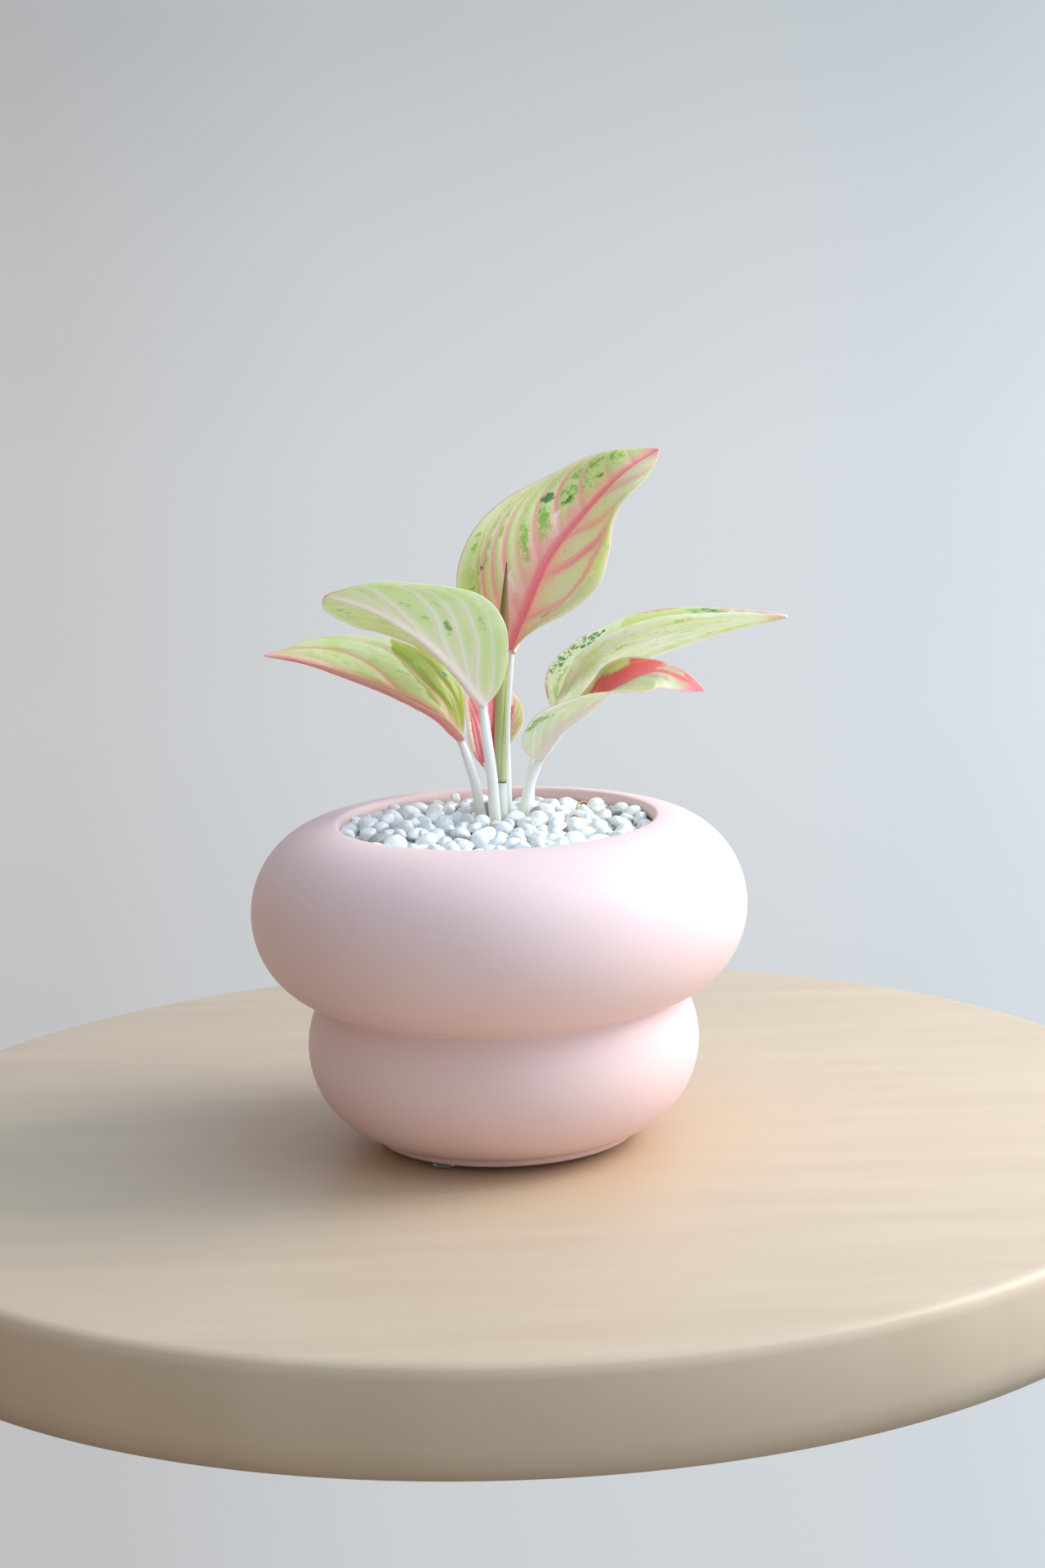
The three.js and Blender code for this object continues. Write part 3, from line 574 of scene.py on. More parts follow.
LEAVES["leaf_right_lower"] = dict(
    stalk=[(7, 16, 116), (11.4, 17.4, 132), (14.4, 17.2, 143)], stalk_radii=[2.4, 2.2, 2, 1.548],
    rib=[(18.4, 15.8, 153), (27, 10.7, 165.1), (36.3, 7.9, 172.2), (50.8, 7.5, 183), (67.1, 10.4, 188),
        (85, 5.3, 180.6)],
    face=[(-0.43, -0.08, 0.93), (0.23, -0.07, 0.88), (0.4, -0.36, 0.85)], half_width=22.2, p=0.6, q=0.67,
    fold=((35, 23, -23), (37, 9, 1)), curl=((-6, 2, -16), (-2, -6, -6)),
    outline=((1.5, 0.96, 1.12, 1.08, 0.5), (1.01, 1.01, 1.08, 0.95, 0.8)),
    vein_width=(1.2, 0.8), rib_width=(2.6, 0.9), flush_width=(7, 3), torn=2,
    veins_left=plain_veins(0.16, 0.35),
    veins_right=plain_veins(0.16, 0.35),
    marks=dict(
        tan_left=[(0, 30, 110, 60, 110, 56, 78, 50, 50, 42, 0, 25, 0)],
        red_left=[(0, 45, 60, 54, 74, 60, 54, 66, 48, 70, 59, 72, 88, 76, 90, 83, 100, 82, 40, 77, 0, 52, 0),
            (1.2, 82, 10, 90, 23, 96, 10), (1.5, 86, 90, 92, 70, 98, 0)],
        olive_left=[(0, 60, 74, 62, 110, 71, 110, 71, 86, 69, 56, 62, 54)],
        cream_left=[(0, 79, 8, 82, 40, 85, 80, 88, 60, 90, 0)],
        cream_right=[(1.8, 76, 30, 84, 40)],
        fleck_right=[(2.6, 17, 92, 23, 86, 29, 74), (1.4, 34, 80, 44, 86), (1.4, 60, 40, 70, 66)],
        dark_right=[(1, 20, 88, 27, 74)]),
    look=dict(seed=29, pale=(42, 42, 26), green=(34, 41, 17), deep=(26, 35, 11), light=(48, 44, 33),
        blush=(60, 32, 26), vein=(62, 22, 22), rib=(62, 12, 14), glow=(60, 17, 17), flush=0.5, rib_strength=0.6,
        red=(58, 4.5, 7), olive=(47, 44, 13), tan=(56, 37, 18), wash=0.85, cream=(38, 29, 24), tip=0.9,
        tip_colour=(66, 18, 22), margin=0.9, margin_mm=1.6, margin_colour=(64, 22, 25)),
    under=dict(pale=(68, 67, 48), green=(58, 62, 35), deep=(46, 55, 24), light=(72, 67, 54), fleck=(19, 33, 8),
        fleck_strength=1, glow=(70, 54, 47), flush=0.9))
LEAVES["leaf_back"] = dict(
    stalk=[(2, 19, 116), (0.6, 21.5, 132), (-0.2, 26.5, 139.8)], stalk_radii=[2, 1.7, 1.5, 1.204],
    rib=[(-4, 34.7, 147.9), (-1.2, 44.3, 158.8), (0.1, 54.2, 166.7), (0.3, 64.2, 172.8), (-0.2, 74.4, 177.5),
        (-1.5, 84.4, 182)],
    face=[(-0.05, -0.74, 0.67), (0.12, -0.49, 0.84), (0.03, -0.3, 0.95)], half_width=12.9, p=0.57, q=0.97,
    fold=((33, 5, 5), (26, 19, 8)), curl=((-2, -14, -12), (-5, -8, -11)),
    outline=((0.98, 1.01, 0.97, 0.86, 0.92), (1.05, 0.92, 1.05, 1.02, 1.01)),
    vein_width=(1, 0.7), rib_width=(3.4, 0.8), flush_width=(6, 2),
    veins_left=plain_veins(0.18, 0.4),
    veins_right=plain_veins(0.18, 0.4),
    marks=dict(
        red_left=[(2.2, 2, 50, 20, 62, 40, 70, 60, 62)],
        red_right=[(1.6, 34, 52, 46, 58)],
        cream_left=[(1.3, 6, 90, 16, 88, 30, 92)],
        olive_right=[(1.6, 30, 92, 50, 88)]),
    look=dict(seed=35, pale=(58, 40, 27), green=(52, 44, 22), deep=(52, 30, 18), light=(62, 50, 36),
        blush=(62, 28, 24), vein=(62, 22, 22), red=(56, 13, 15), rib=(52, 8, 10), glow=(56, 17, 18),
        cream=(62, 48, 36)))


def through(values, u):
    """Quadratic through the values at base, middle and tip."""
    a, b, c = (np.asarray(v, float) for v in values)
    u = u[:, None] if a.ndim else u
    return a * (1 - u) * (1 - 2 * u) + 4 * b * u * (1 - u) + c * u * (2 * u - 1)


def half_blade(leaf, u, v, side):
    """Upper face of one half at rows u and columns v: points and half width."""
    half = 0 if side > 0 else 1
    rib = spline(leaf["rib"], u)
    before = spline(leaf["rib"], np.maximum(u - TANGENT_REACH, 0))
    tangent = unit(spline(leaf["rib"], np.minimum(u + TANGENT_REACH, 1)) - before)
    face = through(leaf["face"], u)
    face = unit(face - (face * tangent).sum(1, keepdims=True) * tangent)
    across = np.cross(tangent, face)
    p, q = leaf["p"], leaf["q"]
    peak = p / (p + q)
    outline = u ** p * (1 - u) ** q / (peak ** p * (1 - peak) ** q)
    width = np.hypot(leaf["half_width"] * outline * factor(leaf["outline"][half], u), 1.2 - 0.8 * u)
    fold = np.radians(through(leaf["fold"][half], u))[:, None]
    curl = np.radians(through(leaf["curl"][half], u))[:, None]
    curl = np.where(np.abs(curl) < 1e-3, 1e-3, curl)
    flat = width[:, None] * (np.sin(fold + curl * v) - np.sin(fold)) / curl
    high = width[:, None] * (np.cos(fold) - np.cos(fold + curl * v)) / curl
    points = rib[:, None] + side * flat[..., None] * across[:, None] + high[..., None] * face[:, None]
    return points, width


def vein_field(veins, u, v):
    """Vein coordinate and strength over a half: the coordinate is a whole number on each vein, from base to tip."""
    lines = []
    for _, points in veins:
        curve = spline(sorted(points, key=lambda point: point[1]), np.linspace(0, 1, 80))
        lines.append(np.interp(v, curve[:, 1], curve[:, 0]))
    order = np.arange(len(veins))
    lines = np.maximum.accumulate(np.array(lines) + 1e-3 * order[:, None], axis=0)
    first = lines[0] - 0.5 * np.maximum(lines[1] - lines[0], 0.03)
    last = lines[-1] + 0.5 * np.maximum(lines[-1] - lines[-2], 0.03)
    lines = np.vstack([first, lines, last])
    numbers = np.concatenate([[-0.5], order, [len(veins) - 0.5]])
    phase = np.array([np.interp(u, lines[:, j], numbers) for j in range(len(v))]).T
    return phase, np.interp(phase, order, [strength for strength, _ in veins])


def patch_distance(points, x, y, closed):
    """Distance in millimetres from a drawn line, or from the edge of a closed patch (negative inside)."""
    near = np.full(x.shape, 1e9)
    inside = np.zeros(x.shape, bool)
    ring = points + points[:1] if closed else points
    for (ax, ay), (bx, by) in zip(ring, ring[1:]):
        dx, dy = bx - ax, by - ay
        t = np.clip(((x - ax) * dx + (y - ay) * dy) / max(dx * dx + dy * dy, 1e-9), 0, 1)
        near = np.minimum(near, np.hypot(x - ax - t * dx, y - ay - t * dy))
        if closed:
            inside ^= ((ay > y) != (by > y)) & (x < dx * (y - ay) / (dy if abs(dy) > 1e-9 else 1e-9) + ax)
    return np.where(inside, -near, near)


MARKS = ("fleck", "dark", "tan", "cream", "olive", "red")
FLECKS_ALL_OVER, FLECKS_IN_MARK = 0.10, 0.78
# added to the vein coordinate, so that it stays positive
PHASE_START = 20


def leaf_marks(leaf):
    """Kind, side, radius and points of every mark on a blade."""
    for key, rows in leaf["marks"].items():
        kind, half = key.split("_")
        for radius, *numbers in rows:
            yield kind, 1 if half == "right" else -1, radius, pairs(numbers)
    for k, (u, v) in enumerate(pairs(leaf.get("dots", ()))):
        yield "dark", -1, 0.45 + 0.75 * (k * 0.618 % 1), [(u, v), (u + 0.008, v)]


def build_leaf(name, leaf, rows, columns):
    """Blade with grooved veins above, a keel below, and its own coordinates for the markings."""
    u = np.linspace(0, 1, rows) ** 1.1
    v = np.linspace(0, 1, columns)
    right, width_right = half_blade(leaf, u, v, 1)
    left, width_left = half_blade(leaf, u, v, -1)
    phase_right, strength_right = vein_field(leaf["veins_right"], u, v)
    phase_left, strength_left = vein_field(leaf["veins_left"], u, v)

    def across(of_right, of_left):
        """One grid from the right edge over the rib to the left edge."""
        return np.concatenate([of_right[:, ::-1], of_left[:, 1:]], axis=1)

    top = across(right, left)
    signed = np.concatenate([v[::-1], -v[1:]])
    total = len(signed)
    U = np.repeat(u[:, None], total, 1)
    V = np.repeat(signed[None], rows, 0)
    A = np.abs(V)
    width = np.where(V > 0, width_right[:, None], width_left[:, None])
    length = np.linalg.norm(np.diff(spline(leaf["rib"], np.linspace(0, 1, 60)), axis=0), axis=1).sum()
    x_mm, y_mm = U * length, A * width
    seed = leaf["look"]["seed"]
    drift = np.array([[noise.noise(Vector((x * 3.1, y * 1.2, seed))) for y in signed] for x in u[::6]])
    drift = np.array([np.interp(u, u[::6], column) for column in drift.T]).T
    along, over = np.gradient(top, axis=0), np.gradient(top, axis=1)
    spacing = []
    for phase, part in ((phase_right[:, ::-1], slice(0, columns)), (phase_left, slice(columns - 1, total))):
        forward = np.gradient(phase, axis=0) / np.maximum(np.linalg.norm(along[:, part], axis=2), 1e-4)
        sideways = np.gradient(phase, axis=1) / np.maximum(np.linalg.norm(over[:, part], axis=2), 1e-4)
        spacing.append(1 / np.maximum(np.hypot(forward, sideways), 1 / 25))
    spacing = np.concatenate([spacing[0], spacing[1][:, 1:]], axis=1)
    phase = across(phase_right, phase_left) + 0.10 * drift
    strength = across(strength_right, strength_left)
    broad_vein, fine_vein = leaf["vein_width"]
    vein_mm = np.where(V > 0, broad_vein, fine_vein) * (1 - 0.35 * A)
    # relief: the blade swells between the veins and sinks along them and the rib
    up = unit(np.cross(along, over))
    off_vein = np.abs((phase + 0.5) % 1 - 0.5) * spacing
    quiet = smoothstep(0.02, 0.12, U) * (1 - smoothstep(0.86, 0.98, U)) * (1 - smoothstep(0.80, 0.98, A))
    quiet_edge = smoothstep(0.05, 0.25, U) * (1 - smoothstep(0.85, 0.97, U))
    swell = 0.5 * smoothstep(0.0, 3.2, off_vein) * quiet * smoothstep(0.03, 0.16, A) * np.clip(strength + 0.3, 0, 1)
    groove = -0.5 * np.exp(-(y_mm / 1.3) ** 2) * smoothstep(0, 0.1, U) * (1 - 0.6 * U)
    ripple = 0.22 * A ** 3 * np.sin(U * 27 + 5 * drift + np.where(V > 0, 0, 2)) * quiet_edge
    top = top + up * (swell + groove + ripple)[..., None]
    keel = 1.3 * (1 - 0.85 * U) * np.exp(-(y_mm / (1.7 - 1.1 * U)) ** 2)
    ridge = 0.22 * (1 - smoothstep(0.0, 1.4, off_vein)) * quiet * strength
    thickness = 0.62 - 0.40 * smoothstep(0.80, 1, A) + keel + ridge
    bottom = top - up * thickness[..., None]
    rib_base, rib_tip = leaf["rib_width"]
    flush_base, flush_tip = leaf["flush_width"]
    flush_mm = flush_base * (1 - U) ** 1.4 + flush_tip * (1 - (1 - U) ** 1.4)
    flush_mm = flush_mm * (1 + 0.9 * (1 - smoothstep(0.5, 4.0, off_vein)) * strength)
    values = {
        "along": U, "blade_x": x_mm, "blade_y": y_mm * np.sign(V),
        "phase": phase + PHASE_START, "spacing": spacing / vein_mm,
        "strength": strength * (1 - 0.8 * smoothstep(0.55, 1.0, A)), "edge": (1 - A) * width,
        "rib": y_mm / (rib_base + (rib_tip - rib_base) * U), "flush": np.exp(-(y_mm / flush_mm) ** 1.5),
    }
    for kind in MARKS:
        values[kind] = np.full(U.shape, FLECKS_ALL_OVER if kind == "fleck" else 0.0)
    for kind, side, radius, points in leaf_marks(leaf):
        if radius == 0:
            ring = points + points[:1]
            points = [(a + (c - a) * t, b + (d - b) * t)
                      for (a, b), (c, d) in zip(ring, ring[1:]) for t in np.arange(8) / 8]
        place = [(a * length, b * np.interp(a, u, width_right if side > 0 else width_left)) for a, b in points]
        reach = patch_distance(place, x_mm, y_mm, radius == 0) - radius
        level = (0.5 - 0.5 * np.tanh(reach / max(0.5 * radius, leaf.get("torn", 1.1)))) * (V * side >= 0)
        values[kind] = np.maximum(values[kind], level * (FLECKS_IN_MARK if kind == "fleck" else 1))
    count = rows * total
    faces, slots = [], []
    for i in range(rows - 1):
        for j in range(total - 1):
            a, b = i * total + j, i * total + j + 1
            c, d = a + total, b + total
            faces += [(a, c, d, b), (a + count, b + count, d + count, c + count)]
            slots += [0, 1]
    rim = [i * total for i in range(rows)] + [(rows - 1) * total + j for j in range(1, total)]
    rim += [i * total + total - 1 for i in range(rows - 2, -1, -1)] + list(range(total - 2, 0, -1))
    faces += [(b, a, a + count, b + count) for a, b in zip(rim, rim[1:] + rim[:1])]
    slots += [0] * len(rim)
    above = merged_look(GREEN_LOOK, leaf["look"])
    below = merged_look(GREEN_LOOK, UNDER_LOOK, dict(seed=seed), leaf.get("under", {}))
    materials = [leaf_material(f"{name}_upper", above, True), leaf_material(f"{name}_under", below, False)]
    mesh_piece(f"{name}_blade", np.vstack([top.reshape(-1, 3), bottom.reshape(-1, 3)]), faces, materials, "leaf", name,
               {key: np.tile(value.ravel(), 2) for key, value in values.items()}, slots)


for leaf_name, leaf in LEAVES.items():
    build_leaf(leaf_name, leaf, *((130, 34) if leaf_name == "leaf_back" else (210, 52)))

# ---- stalks
CROWN = [(0, 98), (4.8, 98), (8, 114), (7.4, 119), (5, 120.6), (0, 121)]
CROWN_AT = np.array([3, 17, 0])
# a stalk ends a little way up its rib, so that the blade covers its end
STALK_END = 0.012
NEW_LEAF = dict(
    stalk=[(2.4, 15, 116), (2.6, 15.2, 132), (2.8, 15.4, 143.9)], stalk_radii=[2.4, 2.2, 1.9],
    roll=[(2.9, 15.4, 143.9), (2.7, 15, 156.8), (3.1, 15, 170.2), (4.3, 15, 190.2), (6.1, 15.5, 213.3),
          (7.8, 16, 233.6)],
    roll_radii=[1.8, 2.3, 2.45, 2.3, 1.8, 0.22])


def stalk_shape(t, angle):
    """A shallow channel on one side and slight unevenness."""
    channel = 0.10 * math.exp(-((angle - math.pi / 2) / 0.45) ** 2)
    return 1 - channel + 0.015 * math.sin(3 * angle + 9 * t)


crown_points, crown_faces = lathe(CROWN, 32)
none = np.zeros(len(crown_points))
stalk_parts = [(crown_points + CROWN_AT, crown_faces, {"along": none, "around": none, "seed": none})]
for number, leaf in enumerate(LEAVES.values()):
    path = leaf["stalk"] + [tuple(spline(leaf["rib"], STALK_END)[0])]
    p, f, values = tube(path, leaf["stalk_radii"], 28, 70, stalk_shape)
    stalk_parts.append((p, f, dict(values, seed=np.full(len(p), number * 3.7))))
p, f, values = tube(NEW_LEAF["stalk"], NEW_LEAF["stalk_radii"], 28, 40, stalk_shape)
stalk_parts.append((p, f, dict(values, along=values["along"] * 0.6, seed=np.full(len(p), 30.0))))
p, f, values = joined(stalk_parts)
mesh_piece("stalks", p, f, [stalk_material()], "stalk", "stems", values)


# ---- rolled new leaf
def seam_turn(t, angle):
    """How far round from the seam, which winds up the roll."""
    return (angle - 4.6 - 2.4 * t) % FULL_TURN


def seam_depth(t, angle):
    turn = seam_turn(t, angle)
    return math.exp(-(min(turn, FULL_TURN - turn) / 0.22) ** 2)


def roll_shape(t, angle):
    return 1.03 - 0.10 * seam_turn(t, angle) / FULL_TURN - 0.10 * seam_depth(t, angle)


p, f, values = tube(NEW_LEAF["roll"], NEW_LEAF["roll_radii"], 40, 130, roll_shape)
values["seam"] = np.array([seam_depth(t, angle) for t, angle in zip(values["along"], values["around"])])
mesh_piece("new_leaf_roll", p, f, [new_leaf_material()], "new_leaf", "new_leaf", values)

# ---- pot
UPPER = dict(ring=65.25, reach=34.75, z=96.47, rise=36.24)
LOWER = dict(ring=43.34, reach=35.96, z=41.04, rise=36.98)
WALL = 6
CREST = UPPER["z"] + UPPER["rise"]
FOOT = [[0, 2.5], [40, 2.5], [51.2, 2.55], [52.3, 2.9], [52.9, 3.6], [53.1, 4.5]]
WAIST = [[74.75, 59.5], [74.35, 60.4], [74.3, 61.0], [74.6, 61.6], [75.2, 62.05]]
LIP = [[64.75, CREST - 0.1], [64.3, CREST - 0.4], [63.9, CREST - 0.9], [63.6, CREST - 1.6], [63.42, CREST - 2.4],
       [63.4, 129.4], [63.6, 128.2], [64.3, 126.9], [66, 126.2]]
FLOOR_OF_POT = 10


def bulge(part, shrink, start, end, count):
    angles = np.radians(np.linspace(start, end, count))
    radius = part["ring"] + (part["reach"] - shrink) * np.cos(angles)
    return np.c_[radius, part["z"] + (part["rise"] - shrink) * np.sin(angles)].tolist()


outside = FOOT + bulge(LOWER, 0, -73.5, 27, 44) + WAIST + bulge(UPPER, 0, -71, 90, 64)
inside = LIP + bulge(UPPER, WALL, 76, -62, 24) + bulge(LOWER, WALL, 24, -62, 16) + [[0, FLOOR_OF_POT]]
p, f = lathe(outside + inside, 192)
mesh_piece("pot_shell", p, f, [pot_material()], "pot", "pot")

# ---- clear pads
PAD_RING = 46
FIRST_PAD = -122.6
PAD = [(0, 0), (3.9, 0), (4.5, 0.25), (4.9, 0.9), (5, 1.7), (4.95, 2.45), (0, 2.45)]
pad_look = pad_material()
for number in range(3):
    angle = math.radians(FIRST_PAD + 120 * number)
    p, f = lathe(PAD, 48)
    p = p + PAD_RING * np.array([math.cos(angle), math.sin(angle), 0])
    mesh_piece(f"clear_pad_{number + 1}", p, f, [pad_look], "pad", f"pad_{number + 1}")

# ---- soil
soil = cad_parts["soil"]
soil_look = soil_material()
if not soil.material_slots:
    soil.data.materials.append(soil_look)
for material_slot in soil.material_slots:
    material_slot.material = soil_look

# ---- gravel
GRAVEL_TOP = 129.5
MOUND = dict(x=3, y=20, rise=4.5, spread=22)
OPENING = 64.0
WALL_STONES = 50
# depth, tries and least distance of the layers; the distance is a share of the two radii
LAYERS = ((0, 5200, 0.87), (4.4, 5200, 0.84), (1.5, 2600, 0.80))
# one small bright stone near the back rim, a grey one at the left, the rest fill the right
EXTRA_STONES = (((-17, 50, 131.6, 2.3), 0.9), ((-51.5, 14, 127.8, 3.6), 0.98), ((55.6, 22, 128.0, 3.9), 0.6),
                ((58.7, 13.5, 127.2, 3.3), 0.4), ((51.6, 30, 128.2, 3.5), 0.7), ((41, 36, 129.4, 3.4), 0.8))


def gravel_height(x, y):
    distance = math.hypot(x - MOUND["x"], y - MOUND["y"])
    heap = MOUND["rise"] * math.exp(-distance ** 2 / (2 * MOUND["spread"] ** 2))
    return GRAVEL_TOP + heap + 2.4 * math.exp(-((x + 46) ** 2 / 500 + (y - 22) ** 2 / 1500))


def stone_directions():
    """Points and faces of a unit ball: an icosahedron divided twice."""
    golden = (1 + math.sqrt(5)) / 2
    base = [np.roll((a, b * golden, 0), k) for k in range(3) for b in (1, -1) for a in (-1, 1)]
    tris = [(0, 11, 5), (0, 5, 1), (0, 1, 7), (0, 7, 10), (0, 10, 11), (1, 5, 9), (5, 11, 4), (11, 10, 2), (10, 7, 6),
            (7, 1, 8), (3, 9, 4), (3, 4, 2), (3, 2, 6), (3, 6, 8), (3, 8, 9), (4, 9, 5), (2, 4, 11), (6, 2, 10),
            (8, 6, 7), (9, 8, 1)]
    points = [b / np.linalg.norm(b) for b in base]
    for _ in range(2):
        cache, split = {}, []

        def middle(a, b):
            key = (min(a, b), max(a, b))
            if key not in cache:
                m = points[a] + points[b]
                points.append(m / np.linalg.norm(m))
                cache[key] = len(points) - 1
            return cache[key]

        for a, b, c in tris:
            ab, bc, ca = middle(a, b), middle(b, c), middle(c, a)
            split += [(a, ab, ca), (b, bc, ab), (c, ca, bc), (ab, bc, ca)]
        tris = split
    return np.array(points), tris


STONE, STONE_FACES = stone_directions()
gen = np.random.default_rng(5)
stalk_feet = [(*plant["stalk"][1][:2], plant["stalk_radii"][1]) for plant in (*LEAVES.values(), NEW_LEAF)]
placed = np.zeros((0, 4))
stone_parts = []


def add_stone(centre, radius, tone=None):
    """A rounded angular pebble: a ball cut by soft planes, stretched and turned."""
    planes = gen.normal(size=(8, 3))
    planes /= np.linalg.norm(planes, axis=1)[:, None]
    depth = gen.uniform(0.58, 0.94, 8)
    reach = np.maximum(STONE @ planes.T, 0) / depth
    ball = (1 + (reach ** 20).sum(1)) ** (-1 / 20)
    shape = STONE * ball[:, None] * 1.15
    shape = shape * np.array([1, gen.uniform(0.78, 0.98), gen.uniform(0.66, 0.86)])
    turn = Matrix.Rotation(gen.uniform(0, 6.28), 3, "Z") @ Matrix.Rotation(gen.normal(0, 0.4), 3, "X")
    turn = turn @ Matrix.Rotation(gen.normal(0, 0.4), 3, "Y")
    tone = gen.uniform(0, 1) if tone is None else tone
    stone_parts.append((shape @ np.array(turn).T * radius + centre, STONE_FACES, {"tone": np.full(len(STONE), tone)}))


def try_stone(x, y, z, r, crowd):
    """Keep the place of a stone unless it meets the wall, a stalk or another stone."""
    global placed
    if math.hypot(x, y) + r * 0.92 > OPENING:
        return
    if any(math.hypot(x - sx, y - sy) < sr + r * 0.82 for sx, sy, sr in stalk_feet):
        return
    gap = np.sqrt(((placed[:, :3] - (x, y, z)) ** 2).sum(1))
    if not (gap < crowd * (placed[:, 3] + r)).any():
        placed = np.vstack([placed, (x, y, z, r)])


for number in range(WALL_STONES):
    angle = math.radians(360 / WALL_STONES * number + gen.uniform(-1.5, 1.5))
    r = gen.uniform(3.2, 4.2)
    far = OPENING - 0.1 - r * 0.92
    x, y = far * math.cos(angle), far * math.sin(angle)
    try_stone(x, y, gravel_height(x, y) - r + gen.uniform(-1.2, -0.2), r, 0.82)
for depth, tries, crowd in LAYERS:
    for _ in range(tries):
        angle, far = gen.uniform(0, FULL_TURN), 60.5 * math.sqrt(gen.uniform(0, 1))
        r = min(5.6, max(2.7, gen.normal(4.2, 0.7)))
        x, y = far * math.cos(angle), far * math.sin(angle)
        try_stone(x, y, gravel_height(x, y) - r * 0.8 - depth + gen.uniform(-1.0, 0.7), r, crowd)
for x, y, z, r in placed:
    add_stone((x, y, z), r)
for (x, y, z, r), tone in EXTRA_STONES:
    add_stone((x, y, z), r, tone)
p, f, values = joined(stone_parts)
mesh_piece("gravel_stones", p, f, [gravel_material()], "gravel", "gravel", values)

# the rough bed that shows between the stones: its dark ground is painted shade in the gaps over the soil, its pale
# lumps deeper gravel
bed = [(0, 119), (30, 119), (65.5, 119), (66, 120), (66, GRAVEL_TOP - 4.6), (62, GRAVEL_TOP - 4.8)]
bed += [(r, GRAVEL_TOP - 7 + 3.2 * math.exp(-(r / 26) ** 2)) for r in (50, 40, 30, 20, 10, 0)]
p, f = lathe(bed, 96)
mesh_piece("gravel_bed_painted_shade", p, f, [bed_shade_material()], "gravel")

# dry fibres between the stones
FIBRES = [
    [(33, 22, 130.4), (33.6, 25, 132.0), (36, 28, 132.6), (38.5, 29, 131.4)],
    [(29, 5, 129.8), (31.5, 3.5, 131.6), (34, 4.5, 130.4)],
    [(-17, 26, 130.6), (-15, 24.5, 132.6), (-12.5, 24, 131.2)],
    [(14, 8, 129.6), (12.5, 5, 131.4), (12, 2, 130.2)],
]
p, f, values = joined([tube(path, [0.28, 0.36, 0.25], 8, 24) for path in FIBRES])
mesh_piece("fibres", p, f, [fibre_material()], "soil", floats=values)


# ---- floor, light and camera
def floor_material():
    """Pale wood, with painted warm shade near the pot."""
    n = shading("pale_floor", (0.585, 0.43, 0.29))
    where = n.place()
    stretch = n.new("Mapping")
    stretch.inputs["Scale"].default_value = (1.0, 9.0, 1.0)
    grain = n.noise(n.feed(stretch, where), 6, 4, 0.55, 0.2)
    n.tint(grain, 0.3, 0.7, (0.62, 0.465, 0.32))
    far = n.new("VectorMath", operation="LENGTH")
    n.feed(far, where)
    # painted shade: the wood turns warmer and darker towards the pot's foot
    n.tint(far.outputs["Value"], 0.14, 0.065, (0.6, 0.405, 0.24), 0.45)
    return n.finish(n.step(grain, 0.2, 0.8, 0.38, 0.46), Specular_IOR_Level=0.4)


TABLE_CENTRE = np.array([0.7, 18.8, 0])
TABLE = [(0, -44), (268, -44), (274, -42), (277, -36), (278, -30), (278, -6), (277, -2.4), (275, -0.7), (272, 0),
         (0, 0)]
p, f = lathe(TABLE, 160)
mesh_piece("floor", p + TABLE_CENTRE, f, [floor_material()])

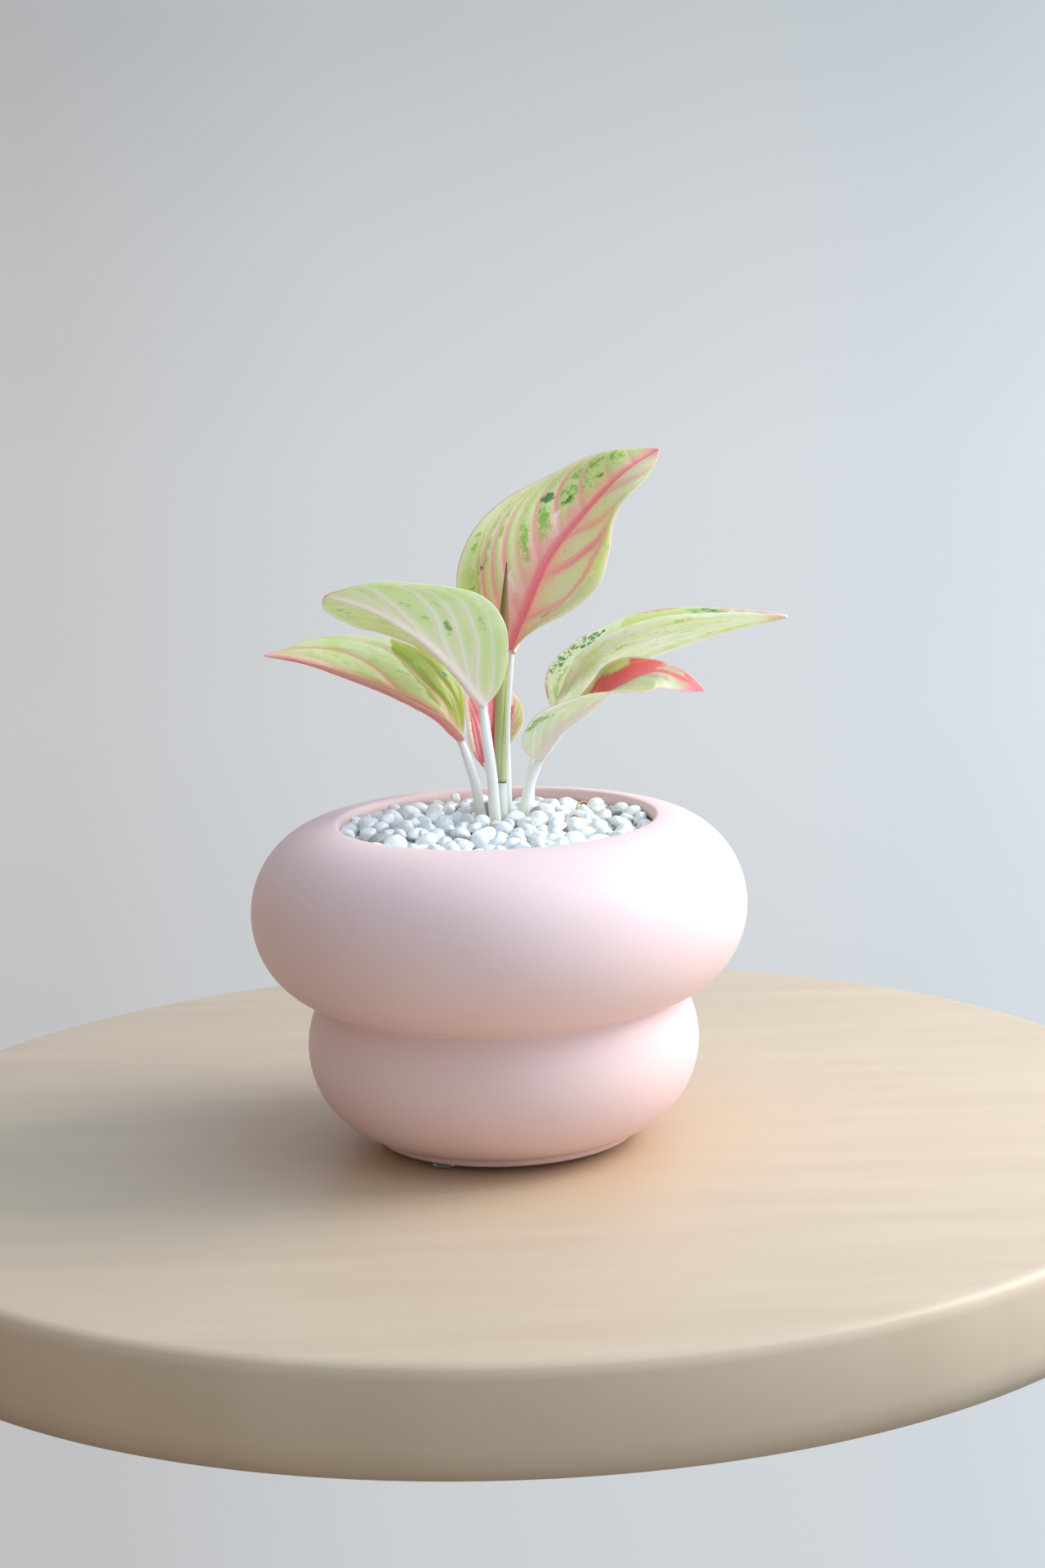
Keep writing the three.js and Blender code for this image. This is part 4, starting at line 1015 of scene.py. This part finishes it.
bpy.context.scene.view_settings.view_transform = "Standard"
bpy.context.scene.world = bpy.data.worlds.new("studio")
n = Nodes(bpy.context.scene.world)
split = n.new("SeparateXYZ")
n.feed(split, n.new("TexCoord").outputs["Generated"])
sweep = n.ramp(n.step(split.outputs["X"], -1, 1, kind="LINEAR"), (
    (0.0, (0.38, 0.31, 0.25)), (0.32, (0.54, 0.50, 0.465)), (0.43, (0.515, 0.521, 0.534)),
    (0.475, (0.585, 0.61, 0.63)), (0.54, (0.625, 0.662, 0.69)), (0.57, (0.63, 0.678, 0.720)),
    (0.70, (0.85, 0.97, 1.06)), (1.0, (1.20, 1.40, 1.55))))
lift = n.ramp(n.step(split.outputs["Z"], -1, 1, kind="LINEAR"), (
    (0.14, (0.25, 0.22, 0.20)), (0.27, (1, 1, 1)), (0.38, (1.04, 1.04, 1.04)), (0.42, (1.09, 1.09, 1.09)),
    (0.46, (1.08, 1.08, 1.08)), (0.495, (1, 1, 1)), (0.53, (0.86, 0.87, 0.875)), (0.57, (0.92, 0.95, 0.98)),
    (0.70, (0.94, 1.05, 1.20)), (1.0, (0.85, 1.07, 1.37))))
n.link(n.mix(1, sweep, lift, "MULTIPLY"), n.shader.inputs["Color"])
n.link(n.step(split.outputs["Y"], -0.9, 0.1, 0.84, 1.0, kind="LINEAR"), n.shader.inputs["Strength"])


def area_light(name, place, target, size, power, colour):
    data = bpy.data.lights.new(name, "AREA")
    data.shape = "SQUARE"
    data.size = size
    data.energy = power
    data.color = colour
    lamp = bpy.data.objects.new(name, data)
    bpy.context.scene.collection.objects.link(lamp)
    lamp.location = place
    lamp.rotation_euler = (Vector(target) - Vector(place)).to_track_quat("-Z", "Y").to_euler()


area_light("window", (1.15, 0.12, 0.85), (0, 0, 0.14), 0.8, 19.5, (0.99, 0.985, 0.98))
area_light("sky_fill", (0.6, -0.5, 1.6), (0, 0, 0.1), 1.3, 7.0, (0.58, 0.84, 1.05))

PHOTO_HEIGHT = 1920
FOCAL_PX = 3840
SENSOR = 36
CAMERA_AT = (6.37, -1236.58, 372.52)
YAW, PITCH, ROLL = 0.0038, 0.1813, -0.0334
ahead = Vector((math.sin(YAW) * math.cos(PITCH), math.cos(YAW) * math.cos(PITCH), -math.sin(PITCH)))
level = Vector((math.cos(YAW), -math.sin(YAW), 0))
above = level.cross(ahead)
right_axis = math.cos(ROLL) * level + math.sin(ROLL) * above
up_axis = -math.sin(ROLL) * level + math.cos(ROLL) * above
camera_data = bpy.data.cameras.new("camera")
camera_data.sensor_width = SENSOR
camera_data.lens = FOCAL_PX / PHOTO_HEIGHT * SENSOR
camera = bpy.data.objects.new("camera", camera_data)
bpy.context.scene.collection.objects.link(camera)
turn = Matrix((right_axis, up_axis, -ahead)).transposed()
camera.matrix_world = Matrix.Translation(Vector(metres(CAMERA_AT))) @ turn.to_4x4()
bpy.context.scene.camera = camera
